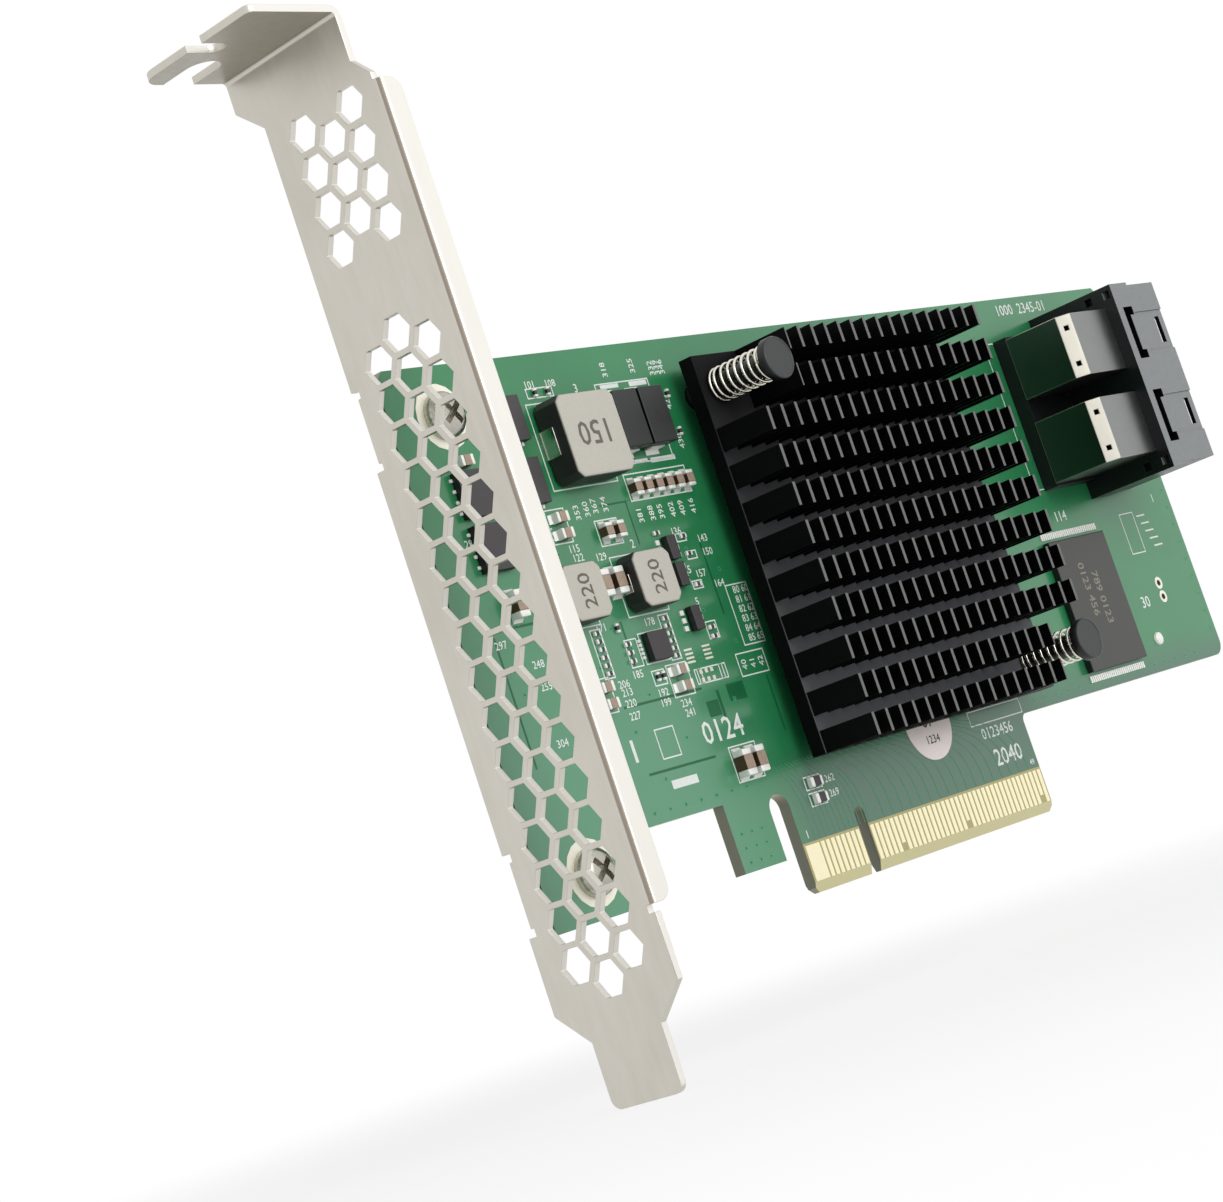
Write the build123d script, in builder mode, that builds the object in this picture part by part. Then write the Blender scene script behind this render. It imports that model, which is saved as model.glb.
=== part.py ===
from build123d import *
import os

# RAID controller card for an eight-lane slot, upright as it stands when plugged in.
# X runs along the card from the bracket to the cable sockets, Z is up, and the
# component side faces -Y. The origin is the middle of the key notch, on the bottom
# edge of the contact tongue and in the plane of the component side.

# Printed circuit board
board_thickness = 1.57
board_left = 56.3
board_right = 92.3
board_height = 68.9
shoulder_height = 13.0
board_corner_radius = 2.0
board_corner_chamfer = 1.3
outline_overlap = 1.0
foot_height = 4.9
foot_width = 14.6
leg_left = 23.6
leg_width = 7.8
leg_height = 4.7
leg_gap_height = 12.45
notch_radius = 1.0
test_hole = 0.9
test_hole_from_right = 10.4
test_hole_from_shoulder = 12.0
test_hole_spacing = 2.0
test_pad_from_right = 15.5
test_pad_from_shoulder = 4.5

# Contact tongue: a pitch of 1 mm, 11 contacts before the key notch and 38 after it
tongue_left = 12.15
tongue_right = 39.15
key_width = 1.9
key_height = 8.25
contact_pitch = 1.0
contact_width = 0.7
contact_low = 1.3
contact_high = 5.6
contact_thickness = 0.05
contacts_before_key = 11
contacts_after_key = 38
joined_contacts = 3
short_contact_cut = 1.0
tongue_bevel_height = 1.2
tongue_bevel_depth = 0.4

# Bracket, one piece of folded sheet
sheet = 0.9
bracket_width = 18.42
bracket_overhang = 2.75
bracket_gap = 0.5
seat_height = 105.7
bracket_drop = 120.02
fold_radius = 0.5
side_fold_radius = 0.8
tip_width = 10.3
tip_radius = 1.3
tip_top = -6.9
tip_slope = 3.7
tab_depth = 12.5
tab_radius = 2.5
tab_left = 3.65
tab_right = 3.1
left_step = 3.75
left_step_slope = 3.15
right_step = 5.7
right_step_slope = 2.2
screw_slot_width = 4.42
screw_slot_depth = 6.3
screw_slot_inset = 6.9
edge_slot_width = 2.4
edge_slot_depth = 4.2
edge_slot_place = 3.3
flange_depth = 3.2
flange_low = 4.9
flange_from_seat = 8.8
flange_radius = 1.6
ear_width = 7.4
ear_length = 13.0
ear_reach = 8.8
upper_ear_from_top = 6.0
lower_ear_from_foot = 5.2
relief = 0.9

# Hexagonal vents: three columns, the middle one shifted by half a pitch
vent_pitch = 4.51
vent_flats = 3.85
vent_column = 3.95
top_vent_from_seat = 9.75
top_vents = 4
main_vents = 16

# Pan-head screws through board and ear
screw_diameter = 3.0
screw_clearance = 0.15
shank_sides = 12
head_sides = 24
screw_head_diameter = 5.6
screw_head_height = 1.9
screw_head_chamfer = 0.65
screw_tip = 1.2
recess_width = 0.8
recess_depth = 1.1
recess_length = 3.4
recess_turn = 40
screw_ring_diameter = 7.8
ring_sides = 18

# Heatsink with pin fins, held by two spring-loaded push pins
heatsink_size = 50.0
heatsink_from_top = 28.8
heatsink_place = 17.1
base_thickness = 2.0
fin_height = 8.1
fin_count = 19
fin_thickness = 0.5
cross_cuts = 10
cut_pitch = 4.74
cut_width = 1.84
corner_fins = 3
corner_rows = 2
pin_inset_along = 3.5
pin_inset_across = 4.1
pin_hole = 3.2
pin_shaft = 2.8
pin_head_diameter = 5.4
pin_head_thickness = 1.3
pin_head_height = 14.2
barb_diameter = 4.2
barb_length = 3.4
barb_gap = 0.15
barb_slit = 5.4
spring_diameter = 4.6
spring_wire = 0.42
spring_turns = 6.5
spring_steps = 8

# Controller package under the heatsink
package_size = 27.0
package_thickness = 1.1
lid_size = 21.0
lid_thickness = 0.9
pad_thickness = 0.3
pad_margin = 0.5

# Twin right-angle cable sockets
socket_pitch = 12.1
socket_setback = 8.4
socket_from_top = 3.7
mating_length = 11.1
mating_width = 26.6
mating_height = 14.1
nose_length = 6.7
nose_step = 0.4
port_width = 9.0
port_height = 10.2
port_depth = 9.6
port_centre = 7.4
block_length = 5.0
block_width = 7.6
block_height = 8.6
paddle_slot = 1.3
paddle_width = 6.9
paddle_spacing = 4.0
latch_slot_length = 7.5
latch_slot_width = 1.3
latch_slot_inset = 2.1
latch_lobe_length = 1.2
latch_lobe_width = 2.3
key_slot_length = 3.8
key_slot_width = 1.15
key_slot_inset = 1.7
panel_length = 7.1
panel_width = 5.7
panel_depth = 0.2
window_size = 1.1
window_pitch = 3.0
window_height = 11.6
window_inset = 1.25
cage_sheet = 0.3
cage_length = 10.8
cage_width = 8.8
cage_base = 2.2
cage_top = 12.3
cage_bevel = 1.5
cage_hole = 0.65
cage_hole_spacing = 5.1
tray_margin = 0.4
tail_length = 2.6
tail_width = 0.36
tail_rows = 2
tail_pitch = 1.15
tails_per_row = 6
tail_row_pitch = 5.4

# Flash memory in a thin outline package
memory_width = 14.0
memory_length = 18.4
memory_thickness = 1.0
memory_standoff = 0.1
memory_chamfer = 0.12
memory_span = 20.0
memory_lead_pitch = 0.5
memory_lead_width = 0.22
memory_leads_per_side = 28
memory_from_right = 28.2
memory_below_socket = 3.85

# Power section, placed from the board's upper left corner
large_inductor_size = 10.0
large_inductor_height = 4.0
small_inductor_size = 6.6
small_inductor_height = 3.0
inductor_corner = 0.8
clip_width = 3.4
small_clip_width = 2.2
clip_thickness = 0.2
clip_foot = 1.5
clip_share = 0.6
polymer_length = 7.0
polymer_width = 4.3
polymer_height = 2.8
polymer_terminal_width = 2.4
polymer_terminal_height = 1.25
mosfet_width = 5.2
mosfet_length = 5.4
mosfet_height = 1.1
mosfet_lead_pitch = 1.27
mosfet_lead_width = 0.4
lead_thickness = 0.25

# Chip sizes
large_chip_length = 3.2
large_chip_width = 1.6
large_chip_height = 1.7
medium_chip_length = 2.0
medium_chip_width = 1.25
medium_chip_height = 1.25
spare_pad_size = 0.5
terminal_share = 0.24
converter_width = 3.4
converter_lead_pitch = 0.5
converter_lead_width = 0.25
converter_leads = 5
sot_width = 1.6
sot_length = 2.9
sot_lead_pitch = 0.95
sot_lead_width = 0.4
chip_lead_reach = 0.7
converter_height = 1.1

# Round paper label
label_diameter = 9.4
label_sides = 40
label_thickness = 0.1
label_place = 18.9
label_height = 15.3

# Places of the small parts, from the board's upper left corner
large_inductor_spot = (27.8, -11.2)
small_inductor_spots = [(18.9, -28.8), (31.2, -28.8)]
polymer_spots = [(36.35, -9.8), (41.05, -9.8)]
lead_below_spots = [(17.6, -7.5), (17.6, -15.0)]
lead_left_spots = [(9.1, -15.3), (9.1, -21.6)]
converter_spot = (30.1, -36.3)
sot_spots = [(38.0, -25.5), (38.0, -28.8), (38.1, -34.2)]
spare_chip_spot = (37.25, -38.3)
spare_chip_span = 3.3
spare_pads_spot = (37.6, -40.9)
spare_pad_pitch = 1.0
large_chip_spots = [(9.5, -28.4), (24.1, -28.1), (26.6, -28.1), (37.9, -52.0), (40.3, -52.0)]
capacitor_row = (40.2, -17.7)
capacitor_row_pitch = 1.92
capacitor_row_count = 6
capacitor_pair = (29.05, -22.2)
capacitor_pair_pitch = 2.1
lying_pairs = [(21.0, -20.6), (19.2, -40.6), (32.4, -40.6)]
lying_pair_pitch = 1.95
lone_capacitor_spot = (8.9, -11.5)

corner = (Align.MIN, Align.MIN)
component_face = Plane.XZ
solder_face = Plane.XZ.offset(-board_thickness)
upper_left = Plane(origin=(-board_left, 0, board_height), x_dir=(1, 0, 0), z_dir=(0, -1, 0))
upper_ear_height = board_height - upper_ear_from_top
lower_ear_height = foot_height + lower_ear_from_foot
ear_hole_x = ear_reach - board_left - bracket_gap
bracket_screw_spots = [(ear_hole_x, upper_ear_height), (ear_hole_x, lower_ear_height)]

heatsink_height = board_height - heatsink_from_top
pin_along = heatsink_size / 2 - pin_inset_along
pin_across = heatsink_size / 2 - pin_inset_across
push_pin_spots = [
    (heatsink_place - pin_along, heatsink_height + pin_across),
    (heatsink_place + pin_along, heatsink_height - pin_across),
]
test_hole_x = board_right - test_hole_from_right
test_hole_spots = [
    (test_hole_x, shoulder_height + test_hole_from_shoulder),
    (test_hole_x, shoulder_height + test_hole_from_shoulder - test_hole_spacing),
]


def finish(piece, name):
    piece.part.label = name
    export_step(piece.part, f"parts/{name}.step")


os.makedirs("parts", exist_ok=True)

# Circuit board: panel, bracket foot, retention leg and contact tongue in one outline
with BuildPart() as circuit_board:
    with BuildSketch(solder_face) as outline:
        with Locations((-board_left, shoulder_height)):
            Rectangle(board_left + board_right, board_height - shoulder_height, align=corner)
        with Locations((-board_left, foot_height)):
            Rectangle(foot_width, shoulder_height - foot_height + outline_overlap, align=corner)
        with Locations((-leg_left, leg_height)):
            Rectangle(leg_left + tongue_right, shoulder_height - leg_height + outline_overlap, align=corner)
        with Locations((-tongue_left, 0)):
            Rectangle(tongue_left + tongue_right, shoulder_height, align=corner)
        gap_width = leg_left - leg_width - tongue_left
        with Locations((-tongue_left - gap_width / 2, leg_gap_height - gap_width / 2)):
            Circle(gap_width / 2, mode=Mode.SUBTRACT)
        with Locations((-tongue_left - gap_width, 0)):
            Rectangle(gap_width, leg_gap_height - gap_width / 2, align=corner, mode=Mode.SUBTRACT)
        with Locations((0, key_height - key_width / 2)):
            Circle(key_width / 2, mode=Mode.SUBTRACT)
        with Locations((-key_width / 2, 0)):
            Rectangle(key_width, key_height - key_width / 2, align=corner, mode=Mode.SUBTRACT)
        corners = outline.vertices()
        fillet(corners.sort_by_distance((board_right, shoulder_height))[0], board_corner_radius)
        fillet(outline.vertices().sort_by_distance((tongue_right, shoulder_height))[0], notch_radius)
        foot_notch = (foot_width - board_left, shoulder_height)
        fillet(outline.vertices().sort_by_distance(foot_notch)[0], notch_radius)
        chamfer(outline.vertices().sort_by_distance((-board_left, board_height))[0], board_corner_chamfer)
        right_corner = (board_right, board_height)
        chamfer(outline.vertices().sort_by_distance(right_corner)[0], board_corner_chamfer / 2)
        chamfer(outline.vertices().sort_by_distance((-tongue_left, 0))[0], board_corner_chamfer / 2)
        chamfer(outline.vertices().sort_by_distance((tongue_right, 0))[0], board_corner_chamfer / 2)
    extrude(amount=board_thickness)
    with BuildSketch(component_face):
        with Locations(*bracket_screw_spots):
            RegularPolygon(screw_diameter / 2 + screw_clearance, shank_sides)
        with Locations(*push_pin_spots):
            RegularPolygon(pin_hole / 2, shank_sides)
        with Locations(*test_hole_spots):
            RegularPolygon(test_hole / 2, shank_sides)
    extrude(amount=-board_thickness, mode=Mode.SUBTRACT)
    with BuildSketch(Plane.YZ.offset(-tongue_left)):
        with BuildLine():
            Polyline((0, 0), (0, tongue_bevel_height), (tongue_bevel_depth, 0), close=True)
        make_face()
        with BuildLine():
            back = board_thickness
            Polyline((back, 0), (back, tongue_bevel_height), (back - tongue_bevel_depth, 0), close=True)
        make_face()
    extrude(amount=tongue_left + tongue_right, mode=Mode.SUBTRACT)
finish(circuit_board, "circuit_board")

# Edge contacts on both faces of the tongue; the first three of the front row are joined
contact_length = contact_high - contact_low
first_contact = 1.5 * contact_pitch
before_middle = -first_contact - (contacts_before_key - 1) / 2 * contact_pitch
after_middle = first_contact + (contacts_after_key - 1) / 2 * contact_pitch
contact_middle = contact_low + contact_length / 2
joined_width = (joined_contacts - 1) * contact_pitch + contact_width
joined_middle = -first_contact - (contacts_before_key - (joined_contacts + 1) / 2) * contact_pitch
with BuildPart() as edge_contacts:
    with BuildSketch(component_face):
        with Locations((before_middle, contact_middle)):
            with GridLocations(contact_pitch, 0, contacts_before_key, 1):
                Rectangle(contact_width, contact_length)
        with Locations((after_middle, contact_middle)):
            with GridLocations(contact_pitch, 0, contacts_after_key, 1):
                Rectangle(contact_width, contact_length)
        with Locations((joined_middle, contact_middle)):
            Rectangle(joined_width, contact_length)
        for number in (5, 19, 36):
            with Locations((first_contact + number * contact_pitch, contact_low)):
                Rectangle(contact_width, 2 * short_contact_cut, mode=Mode.SUBTRACT)
    extrude(amount=contact_thickness)
    with BuildSketch(solder_face):
        with Locations((before_middle, contact_middle)):
            with GridLocations(contact_pitch, 0, contacts_before_key, 1):
                Rectangle(contact_width, contact_length)
        with Locations((after_middle, contact_middle)):
            with GridLocations(contact_pitch, 0, contacts_after_key, 1):
                Rectangle(contact_width, contact_length)
    extrude(amount=-contact_thickness)
finish(edge_contacts, "edge_contacts")

# Bracket: face plate with vents, screw tab, side flange and two threaded ears
bracket_x = -board_left - bracket_gap - sheet
bracket_left = -bracket_overhang
bracket_right = bracket_width - bracket_overhang
bracket_middle = (bracket_left + bracket_right) / 2
bracket_bottom = seat_height - bracket_drop
ear_outer = -board_thickness - sheet
tip_left = bracket_middle - tip_width / 2
tip_right = bracket_middle + tip_width / 2
left_step_level = seat_height - left_step
right_step_level = seat_height - right_step
flange_high = seat_height - flange_from_seat
top_vent_height = seat_height - top_vent_from_seat
bracket_face = Plane(origin=(bracket_x, 0, 0), x_dir=(0, -1, 0), z_dir=(-1, 0, 0))
seat_face = Plane(origin=(0, 0, seat_height), x_dir=(1, 0, 0), z_dir=(0, 0, -1))
with BuildPart() as bracket:
    with BuildSketch(bracket_face) as blank:
        with BuildLine():
            Polyline(
                (bracket_left - tab_left, seat_height + sheet),
                (bracket_right - tab_right, seat_height + sheet),
                (bracket_right - tab_right, right_step_level),
                (bracket_right - sheet, right_step_level - right_step_slope),
                (bracket_right - sheet, flange_high),
                (bracket_right, flange_high),
                (bracket_right, tip_top + tip_slope),
                (tip_right, tip_top),
                (tip_right, bracket_bottom),
                (tip_left, bracket_bottom),
                (tip_left, tip_top),
                (bracket_left, tip_top + tip_slope),
                (bracket_left, left_step_level - left_step_slope),
                (bracket_left - tab_left, left_step_level),
                close=True,
            )
        make_face()
        fillet(blank.vertices().group_by(Axis.Y)[0], tip_radius)
        for ear_height in (upper_ear_height, lower_ear_height):
            with Locations((bracket_left, ear_height)):
                Rectangle(2 * (ear_outer - bracket_left), ear_width, mode=Mode.SUBTRACT)
            with Locations((bracket_left, ear_height)):
                with GridLocations(0, ear_width + relief, 1, 2):
                    Rectangle(2 * (ear_outer - bracket_left + relief), relief, mode=Mode.SUBTRACT)
        with Locations((bracket_right, flange_low - relief / 2)):
            Rectangle(2 * sheet, relief, mode=Mode.SUBTRACT)
    extrude(amount=-sheet)
    with BuildSketch(seat_face):
        with Locations((bracket_x + sheet, bracket_left - tab_left)):
            Rectangle(
                tab_depth + sheet,
                bracket_width + tab_left - tab_right,
                align=(Align.MAX, Align.MIN),
            )
    extrude(amount=-sheet)
    with BuildSketch(component_face.offset(bracket_right - sheet)) as flange:
        with Locations((bracket_x, flange_low)):
            Rectangle(flange_depth, flange_high - flange_low, align=corner)
        fillet(flange.vertices().group_by(Axis.X)[-1], flange_radius)
    extrude(amount=sheet)
    with BuildSketch(solder_face) as ears:
        for ear_height in (upper_ear_height, lower_ear_height):
            with Locations((bracket_x, ear_height)):
                Rectangle(ear_length + sheet, ear_width, align=(Align.MIN, Align.CENTER))
        fillet(ears.vertices().group_by(Axis.X)[-1], ear_width / 2 - relief)
    extrude(amount=-sheet)
    fold_height = seat_height / 2
    tab_fold = (bracket_x + sheet, -bracket_middle, seat_height + sheet)
    fillet(bracket.edges().sort_by_distance(tab_fold)[0], fold_radius + sheet)
    seat_fold = (bracket_x, -bracket_middle, seat_height)
    fillet(bracket.edges().sort_by_distance(seat_fold)[0], fold_radius)
    side_folds = (
        (bracket_x, -bracket_right, fold_height),
        (bracket_x, -ear_outer, upper_ear_height),
        (bracket_x, -ear_outer, lower_ear_height),
    )
    for side_fold in side_folds:
        fillet(bracket.edges().sort_by_distance(side_fold)[0], side_fold_radius)
    with BuildSketch(bracket_face):
        vent_radius = vent_flats / 3**0.5
        for first, count in ((top_vent_height, top_vents), (board_height, main_vents)):
            with Locations((bracket_middle, first - (count - 1) / 2 * vent_pitch)):
                with GridLocations(2 * vent_column, vent_pitch, 2, count):
                    RegularPolygon(vent_radius, 6)
                middle_count = count - 1 if count == top_vents else count + 1
                with GridLocations(0, vent_pitch, 1, middle_count):
                    RegularPolygon(vent_radius, 6)
    extrude(amount=-sheet, mode=Mode.SUBTRACT)
    with BuildSketch(seat_face):
        slot_end = bracket_left - tab_left
        slot_middle = slot_end + screw_slot_depth - screw_slot_width / 2
        with Locations((bracket_x - screw_slot_inset, slot_middle)):
            Circle(screw_slot_width / 2)
        with Locations((bracket_x - screw_slot_inset, slot_end)):
            Rectangle(screw_slot_width, 2 * (screw_slot_depth - screw_slot_width / 2))
        slot_bottom = bracket_x - tab_depth + edge_slot_depth - edge_slot_width / 2
        with Locations((slot_bottom, edge_slot_place)):
            Circle(edge_slot_width / 2)
        with Locations((bracket_x - tab_depth, edge_slot_place)):
            Rectangle(2 * (edge_slot_depth - edge_slot_width / 2), edge_slot_width)
    extrude(amount=-sheet, mode=Mode.SUBTRACT)
    tab_corners = bracket.edges().filter_by(Axis.Z).group_by(Axis.X)[0]
    fillet(tab_corners.group_by(Axis.Y)[-1], tab_radius)
    fillet(tab_corners.group_by(Axis.Y)[0], relief)
    with BuildSketch(solder_face):
        with Locations(*bracket_screw_spots):
            RegularPolygon(screw_diameter / 2, shank_sides)
    extrude(amount=-sheet, mode=Mode.SUBTRACT)
finish(bracket, "bracket")

# Pan-head screws with a cross recess
with BuildPart() as bracket_screws:
    with BuildSketch(component_face.offset(contact_thickness)):
        with Locations(*bracket_screw_spots):
            RegularPolygon(screw_head_diameter / 2, head_sides)
    extrude(amount=screw_head_height)
    chamfer(bracket_screws.edges().group_by(Axis.Y)[0], screw_head_chamfer)
    with BuildSketch(component_face.offset(contact_thickness)):
        with Locations(*bracket_screw_spots):
            RegularPolygon(screw_diameter / 2 - screw_clearance, shank_sides)
    extrude(amount=-(contact_thickness + board_thickness + sheet + screw_tip))
    with BuildSketch(component_face.offset(contact_thickness + screw_head_height)):
        with Locations(*bracket_screw_spots):
            Rectangle(recess_width, recess_length, rotation=recess_turn)
            Rectangle(recess_length, recess_width, rotation=recess_turn)
    extrude(amount=-recess_depth, mode=Mode.SUBTRACT)
finish(bracket_screws, "bracket_screws")

# Bare tinned and plated copper: rings round the screws and test holes, and an empty footprint
with BuildPart() as plated_pads:
    with BuildSketch(component_face):
        with Locations(*bracket_screw_spots):
            RegularPolygon(screw_ring_diameter / 2, ring_sides)
            RegularPolygon(screw_diameter / 2 + 2 * screw_clearance, ring_sides, mode=Mode.SUBTRACT)
        with Locations(*test_hole_spots):
            RegularPolygon(test_hole, shank_sides)
            RegularPolygon(test_hole / 2, shank_sides, mode=Mode.SUBTRACT)
        with Locations((board_right - test_pad_from_right, shoulder_height + test_pad_from_shoulder)):
            RegularPolygon(test_hole, shank_sides)
    extrude(amount=contact_thickness)
    with BuildSketch(upper_left):
        with Locations(spare_chip_spot):
            with GridLocations(spare_chip_span, converter_lead_pitch, 2, 4):
                Rectangle(2 * chip_lead_reach, converter_lead_width)
        with Locations(spare_pads_spot):
            with GridLocations(spare_pad_pitch, spare_pad_pitch, 3, 2):
                Rectangle(spare_pad_size, spare_pad_size)
    extrude(amount=contact_thickness)
finish(plated_pads, "plated_pads")

# Controller package: substrate, metal lid and the pad that carries heat to the heatsink
controller_spot = (heatsink_place, heatsink_height)
with BuildPart() as controller_substrate:
    with BuildSketch(component_face):
        with Locations(controller_spot):
            Rectangle(package_size, package_size)
    extrude(amount=package_thickness)
finish(controller_substrate, "controller_substrate")

with BuildPart() as controller_lid:
    with BuildSketch(component_face.offset(package_thickness)):
        with Locations(controller_spot):
            Rectangle(lid_size, lid_size)
    extrude(amount=lid_thickness)
finish(controller_lid, "controller_lid")

lid_top = package_thickness + lid_thickness
with BuildPart() as thermal_pad:
    with BuildSketch(component_face.offset(lid_top)):
        with Locations(controller_spot):
            Rectangle(lid_size - 2 * pad_margin, lid_size - 2 * pad_margin)
    extrude(amount=pad_thickness)
finish(thermal_pad, "thermal_pad")

# Heatsink: plate fins cut across into rows of pin fins, two corners cleared for the push pins
base_low = lid_top + pad_thickness
base_top = base_low + base_thickness
fin_pitch = (heatsink_size - 2 * fin_thickness) / (fin_count - 1)
cleared_width = corner_fins * fin_pitch + fin_thickness
cleared_length = heatsink_size / 2 - (cross_cuts / 2 - corner_rows + 0.5) * cut_pitch
with BuildPart() as heatsink:
    with BuildSketch(component_face.offset(base_low)):
        with Locations(controller_spot):
            Rectangle(heatsink_size, heatsink_size)
    extrude(amount=base_thickness)
    with BuildSketch(component_face.offset(base_top)):
        with Locations(controller_spot):
            with GridLocations(fin_pitch, 0, fin_count, 1):
                Rectangle(fin_thickness, heatsink_size)
            with GridLocations(0, cut_pitch, 1, cross_cuts):
                Rectangle(heatsink_size, cut_width, mode=Mode.SUBTRACT)
            corner_x = (heatsink_size - cleared_width) / 2
            corner_y = (heatsink_size - cleared_length) / 2
            with Locations((-corner_x, corner_y), (corner_x, -corner_y)):
                Rectangle(cleared_width, cleared_length, mode=Mode.SUBTRACT)
    extrude(amount=fin_height)
    with BuildSketch(component_face.offset(base_low)):
        with Locations(*push_pin_spots):
            RegularPolygon(pin_hole / 2, shank_sides)
    extrude(amount=base_thickness, mode=Mode.SUBTRACT)
finish(heatsink, "heatsink")

# Push pins: flat head, shaft through spring, base and board, split barb behind the board
shaft_end = -board_thickness - barb_gap
with BuildPart() as push_pins:
    with BuildSketch(component_face.offset(pin_head_height)):
        with Locations(*push_pin_spots):
            RegularPolygon(pin_head_diameter / 2, head_sides)
    extrude(amount=-pin_head_thickness)
    with BuildSketch(component_face.offset(pin_head_height - pin_head_thickness)):
        with Locations(*push_pin_spots):
            RegularPolygon(pin_shaft / 2, shank_sides)
    extrude(amount=-(pin_head_height - pin_head_thickness - shaft_end))
    for spot in push_pin_spots:
        with BuildSketch(component_face.offset(shaft_end)):
            with Locations(spot):
                RegularPolygon(barb_diameter / 2, shank_sides)
        with BuildSketch(component_face.offset(shaft_end - barb_length)):
            with Locations(spot):
                RegularPolygon(barb_diameter / 4, shank_sides)
        loft()
    with BuildSketch(component_face.offset(shaft_end - barb_length)):
        with Locations(*push_pin_spots):
            Rectangle(pin_shaft / 4, barb_diameter)
    extrude(amount=barb_slit, mode=Mode.SUBTRACT)
finish(push_pins, "push_pins")

# Compression springs between heatsink base and pin heads, bent in short straight steps
spring_space = pin_head_height - pin_head_thickness - base_top
coil_height = spring_space - 2 * spring_wire
coil_pitch = coil_height / spring_turns
coil_radius = (spring_diameter - spring_wire) / 2
coil_steps = round(spring_turns * spring_steps)
with BuildPart() as push_pin_springs:
    for spot_x, spot_z in push_pin_spots:
        start = (spot_x, -base_top - spring_wire, spot_z)
        coil = Helix(
            coil_pitch,
            coil_height,
            coil_radius,
            center=start,
            direction=(0, -1, 0),
            mode=Mode.PRIVATE,
        )
        with BuildLine() as wire:
            Polyline(*[coil @ (step / coil_steps) for step in range(coil_steps + 1)])
        with BuildSketch(Plane(origin=wire.line @ 0, z_dir=wire.line % 0)):
            Rectangle(spring_wire, spring_wire)
        sweep(path=wire.line, transition=Transition.RIGHT)
finish(push_pin_springs, "push_pin_springs")

# Cable sockets: plastic housing with two ports, tray and latch pockets
mating_right = board_right - socket_setback
mating_left = mating_right - mating_length
socket_middle = board_height - socket_from_top - mating_width / 2
tray_left = mating_left - cage_length + tray_margin / 2
port_top = port_centre + port_height / 2
lobe_pitch = latch_slot_length - latch_lobe_length
lobe_shift = (latch_lobe_width - latch_slot_width) / 2
socket_plane = Plane(origin=(mating_right, 0, socket_middle), x_dir=(1, 0, 0), z_dir=(0, -1, 0))
port_face = Plane(origin=(mating_right, 0, socket_middle), x_dir=(0, -1, 0), z_dir=(-1, 0, 0))
back_face = Plane(origin=(mating_left, 0, socket_middle), x_dir=(0, -1, 0), z_dir=(-1, 0, 0))
with BuildPart() as connector_housing:
    with BuildSketch(socket_plane):
        with Locations((-nose_length, 0)):
            Rectangle(mating_length - nose_length, mating_width, align=(Align.MAX, Align.CENTER))
        Rectangle(nose_length, mating_width - 2 * nose_step, align=(Align.MAX, Align.CENTER))
    extrude(amount=mating_height)
    with BuildSketch(socket_plane):
        with Locations((-mating_length, 0)):
            Rectangle(
                mating_left - tray_left,
                socket_pitch + cage_width + 2 * tray_margin,
                align=(Align.MAX, Align.CENTER),
            )
    extrude(amount=cage_base)
    with BuildSketch(port_face):
        with Locations((port_centre, 0)):
            with GridLocations(0, socket_pitch, 1, 2):
                Rectangle(port_height, port_width)
    extrude(amount=port_depth, mode=Mode.SUBTRACT)
    with BuildSketch(socket_plane.offset(mating_height)):
        with GridLocations(0, socket_pitch, 1, 2):
            Rectangle(panel_length, panel_width, align=(Align.MAX, Align.CENTER))
    extrude(amount=-panel_depth, mode=Mode.SUBTRACT)
    with BuildSketch(socket_plane.offset(mating_height)):
        with Locations((latch_slot_inset - mating_length, 0)):
            with GridLocations(0, socket_pitch, 1, 2):
                Rectangle(latch_slot_width, latch_slot_length)
                with Locations((lobe_shift, 0)):
                    with GridLocations(0, lobe_pitch, 1, 2):
                        Rectangle(latch_lobe_width, latch_lobe_length)
        with Locations((-key_slot_inset, 0)):
            with GridLocations(0, socket_pitch, 1, 2):
                Rectangle(key_slot_width, key_slot_length)
    extrude(amount=port_top - mating_height, mode=Mode.SUBTRACT)
    with BuildSketch(back_face):
        with Locations((window_height, 0)):
            with GridLocations(window_pitch, mating_width - 2 * window_inset, 2, 2):
                Rectangle(window_size, window_size)
    extrude(amount=-window_size, mode=Mode.SUBTRACT)
finish(connector_housing, "connector_housing")

# Folded metal cages over the contact wafers, one for each port
cage_profile_plane = Plane(origin=(mating_left, 0, socket_middle), x_dir=(1, 0, 0), z_dir=(0, 0, 1))
for cage_name, side in (("upper_cage", 1), ("lower_cage", -1)):
    with BuildPart() as cage:
        with BuildSketch(cage_profile_plane.offset((side * socket_pitch - cage_width) / 2)):
            with BuildLine():
                Polyline(
                    (0, -cage_base),
                    (-cage_length, -cage_base),
                    (-cage_length, cage_bevel - cage_top),
                    (cage_bevel - cage_length, -cage_top),
                    (0, -cage_top),
                    close=True,
                )
            make_face()
        extrude(amount=cage_width)
        cage_openings = cage.faces().filter_by(Axis.X).sort_by(Axis.X)[-1:]
        cage_openings += cage.faces().filter_by(Axis.Y).sort_by(Axis.Y)[-1:]
        offset(amount=-cage_sheet, openings=cage_openings)
        bevel_middle = (
            mating_left - cage_length + cage_bevel / 2,
            cage_bevel / 2 - cage_top,
            socket_middle + side * socket_pitch / 2,
        )
        with BuildSketch(Plane(origin=bevel_middle, x_dir=(0, 0, 1), z_dir=(-1, -1, 0))):
            with GridLocations(cage_hole_spacing, 0, 2, 1):
                Rectangle(cage_hole, cage_hole)
        extrude(amount=-2 * cage_sheet, mode=Mode.SUBTRACT)
    finish(cage, cage_name)

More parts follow.
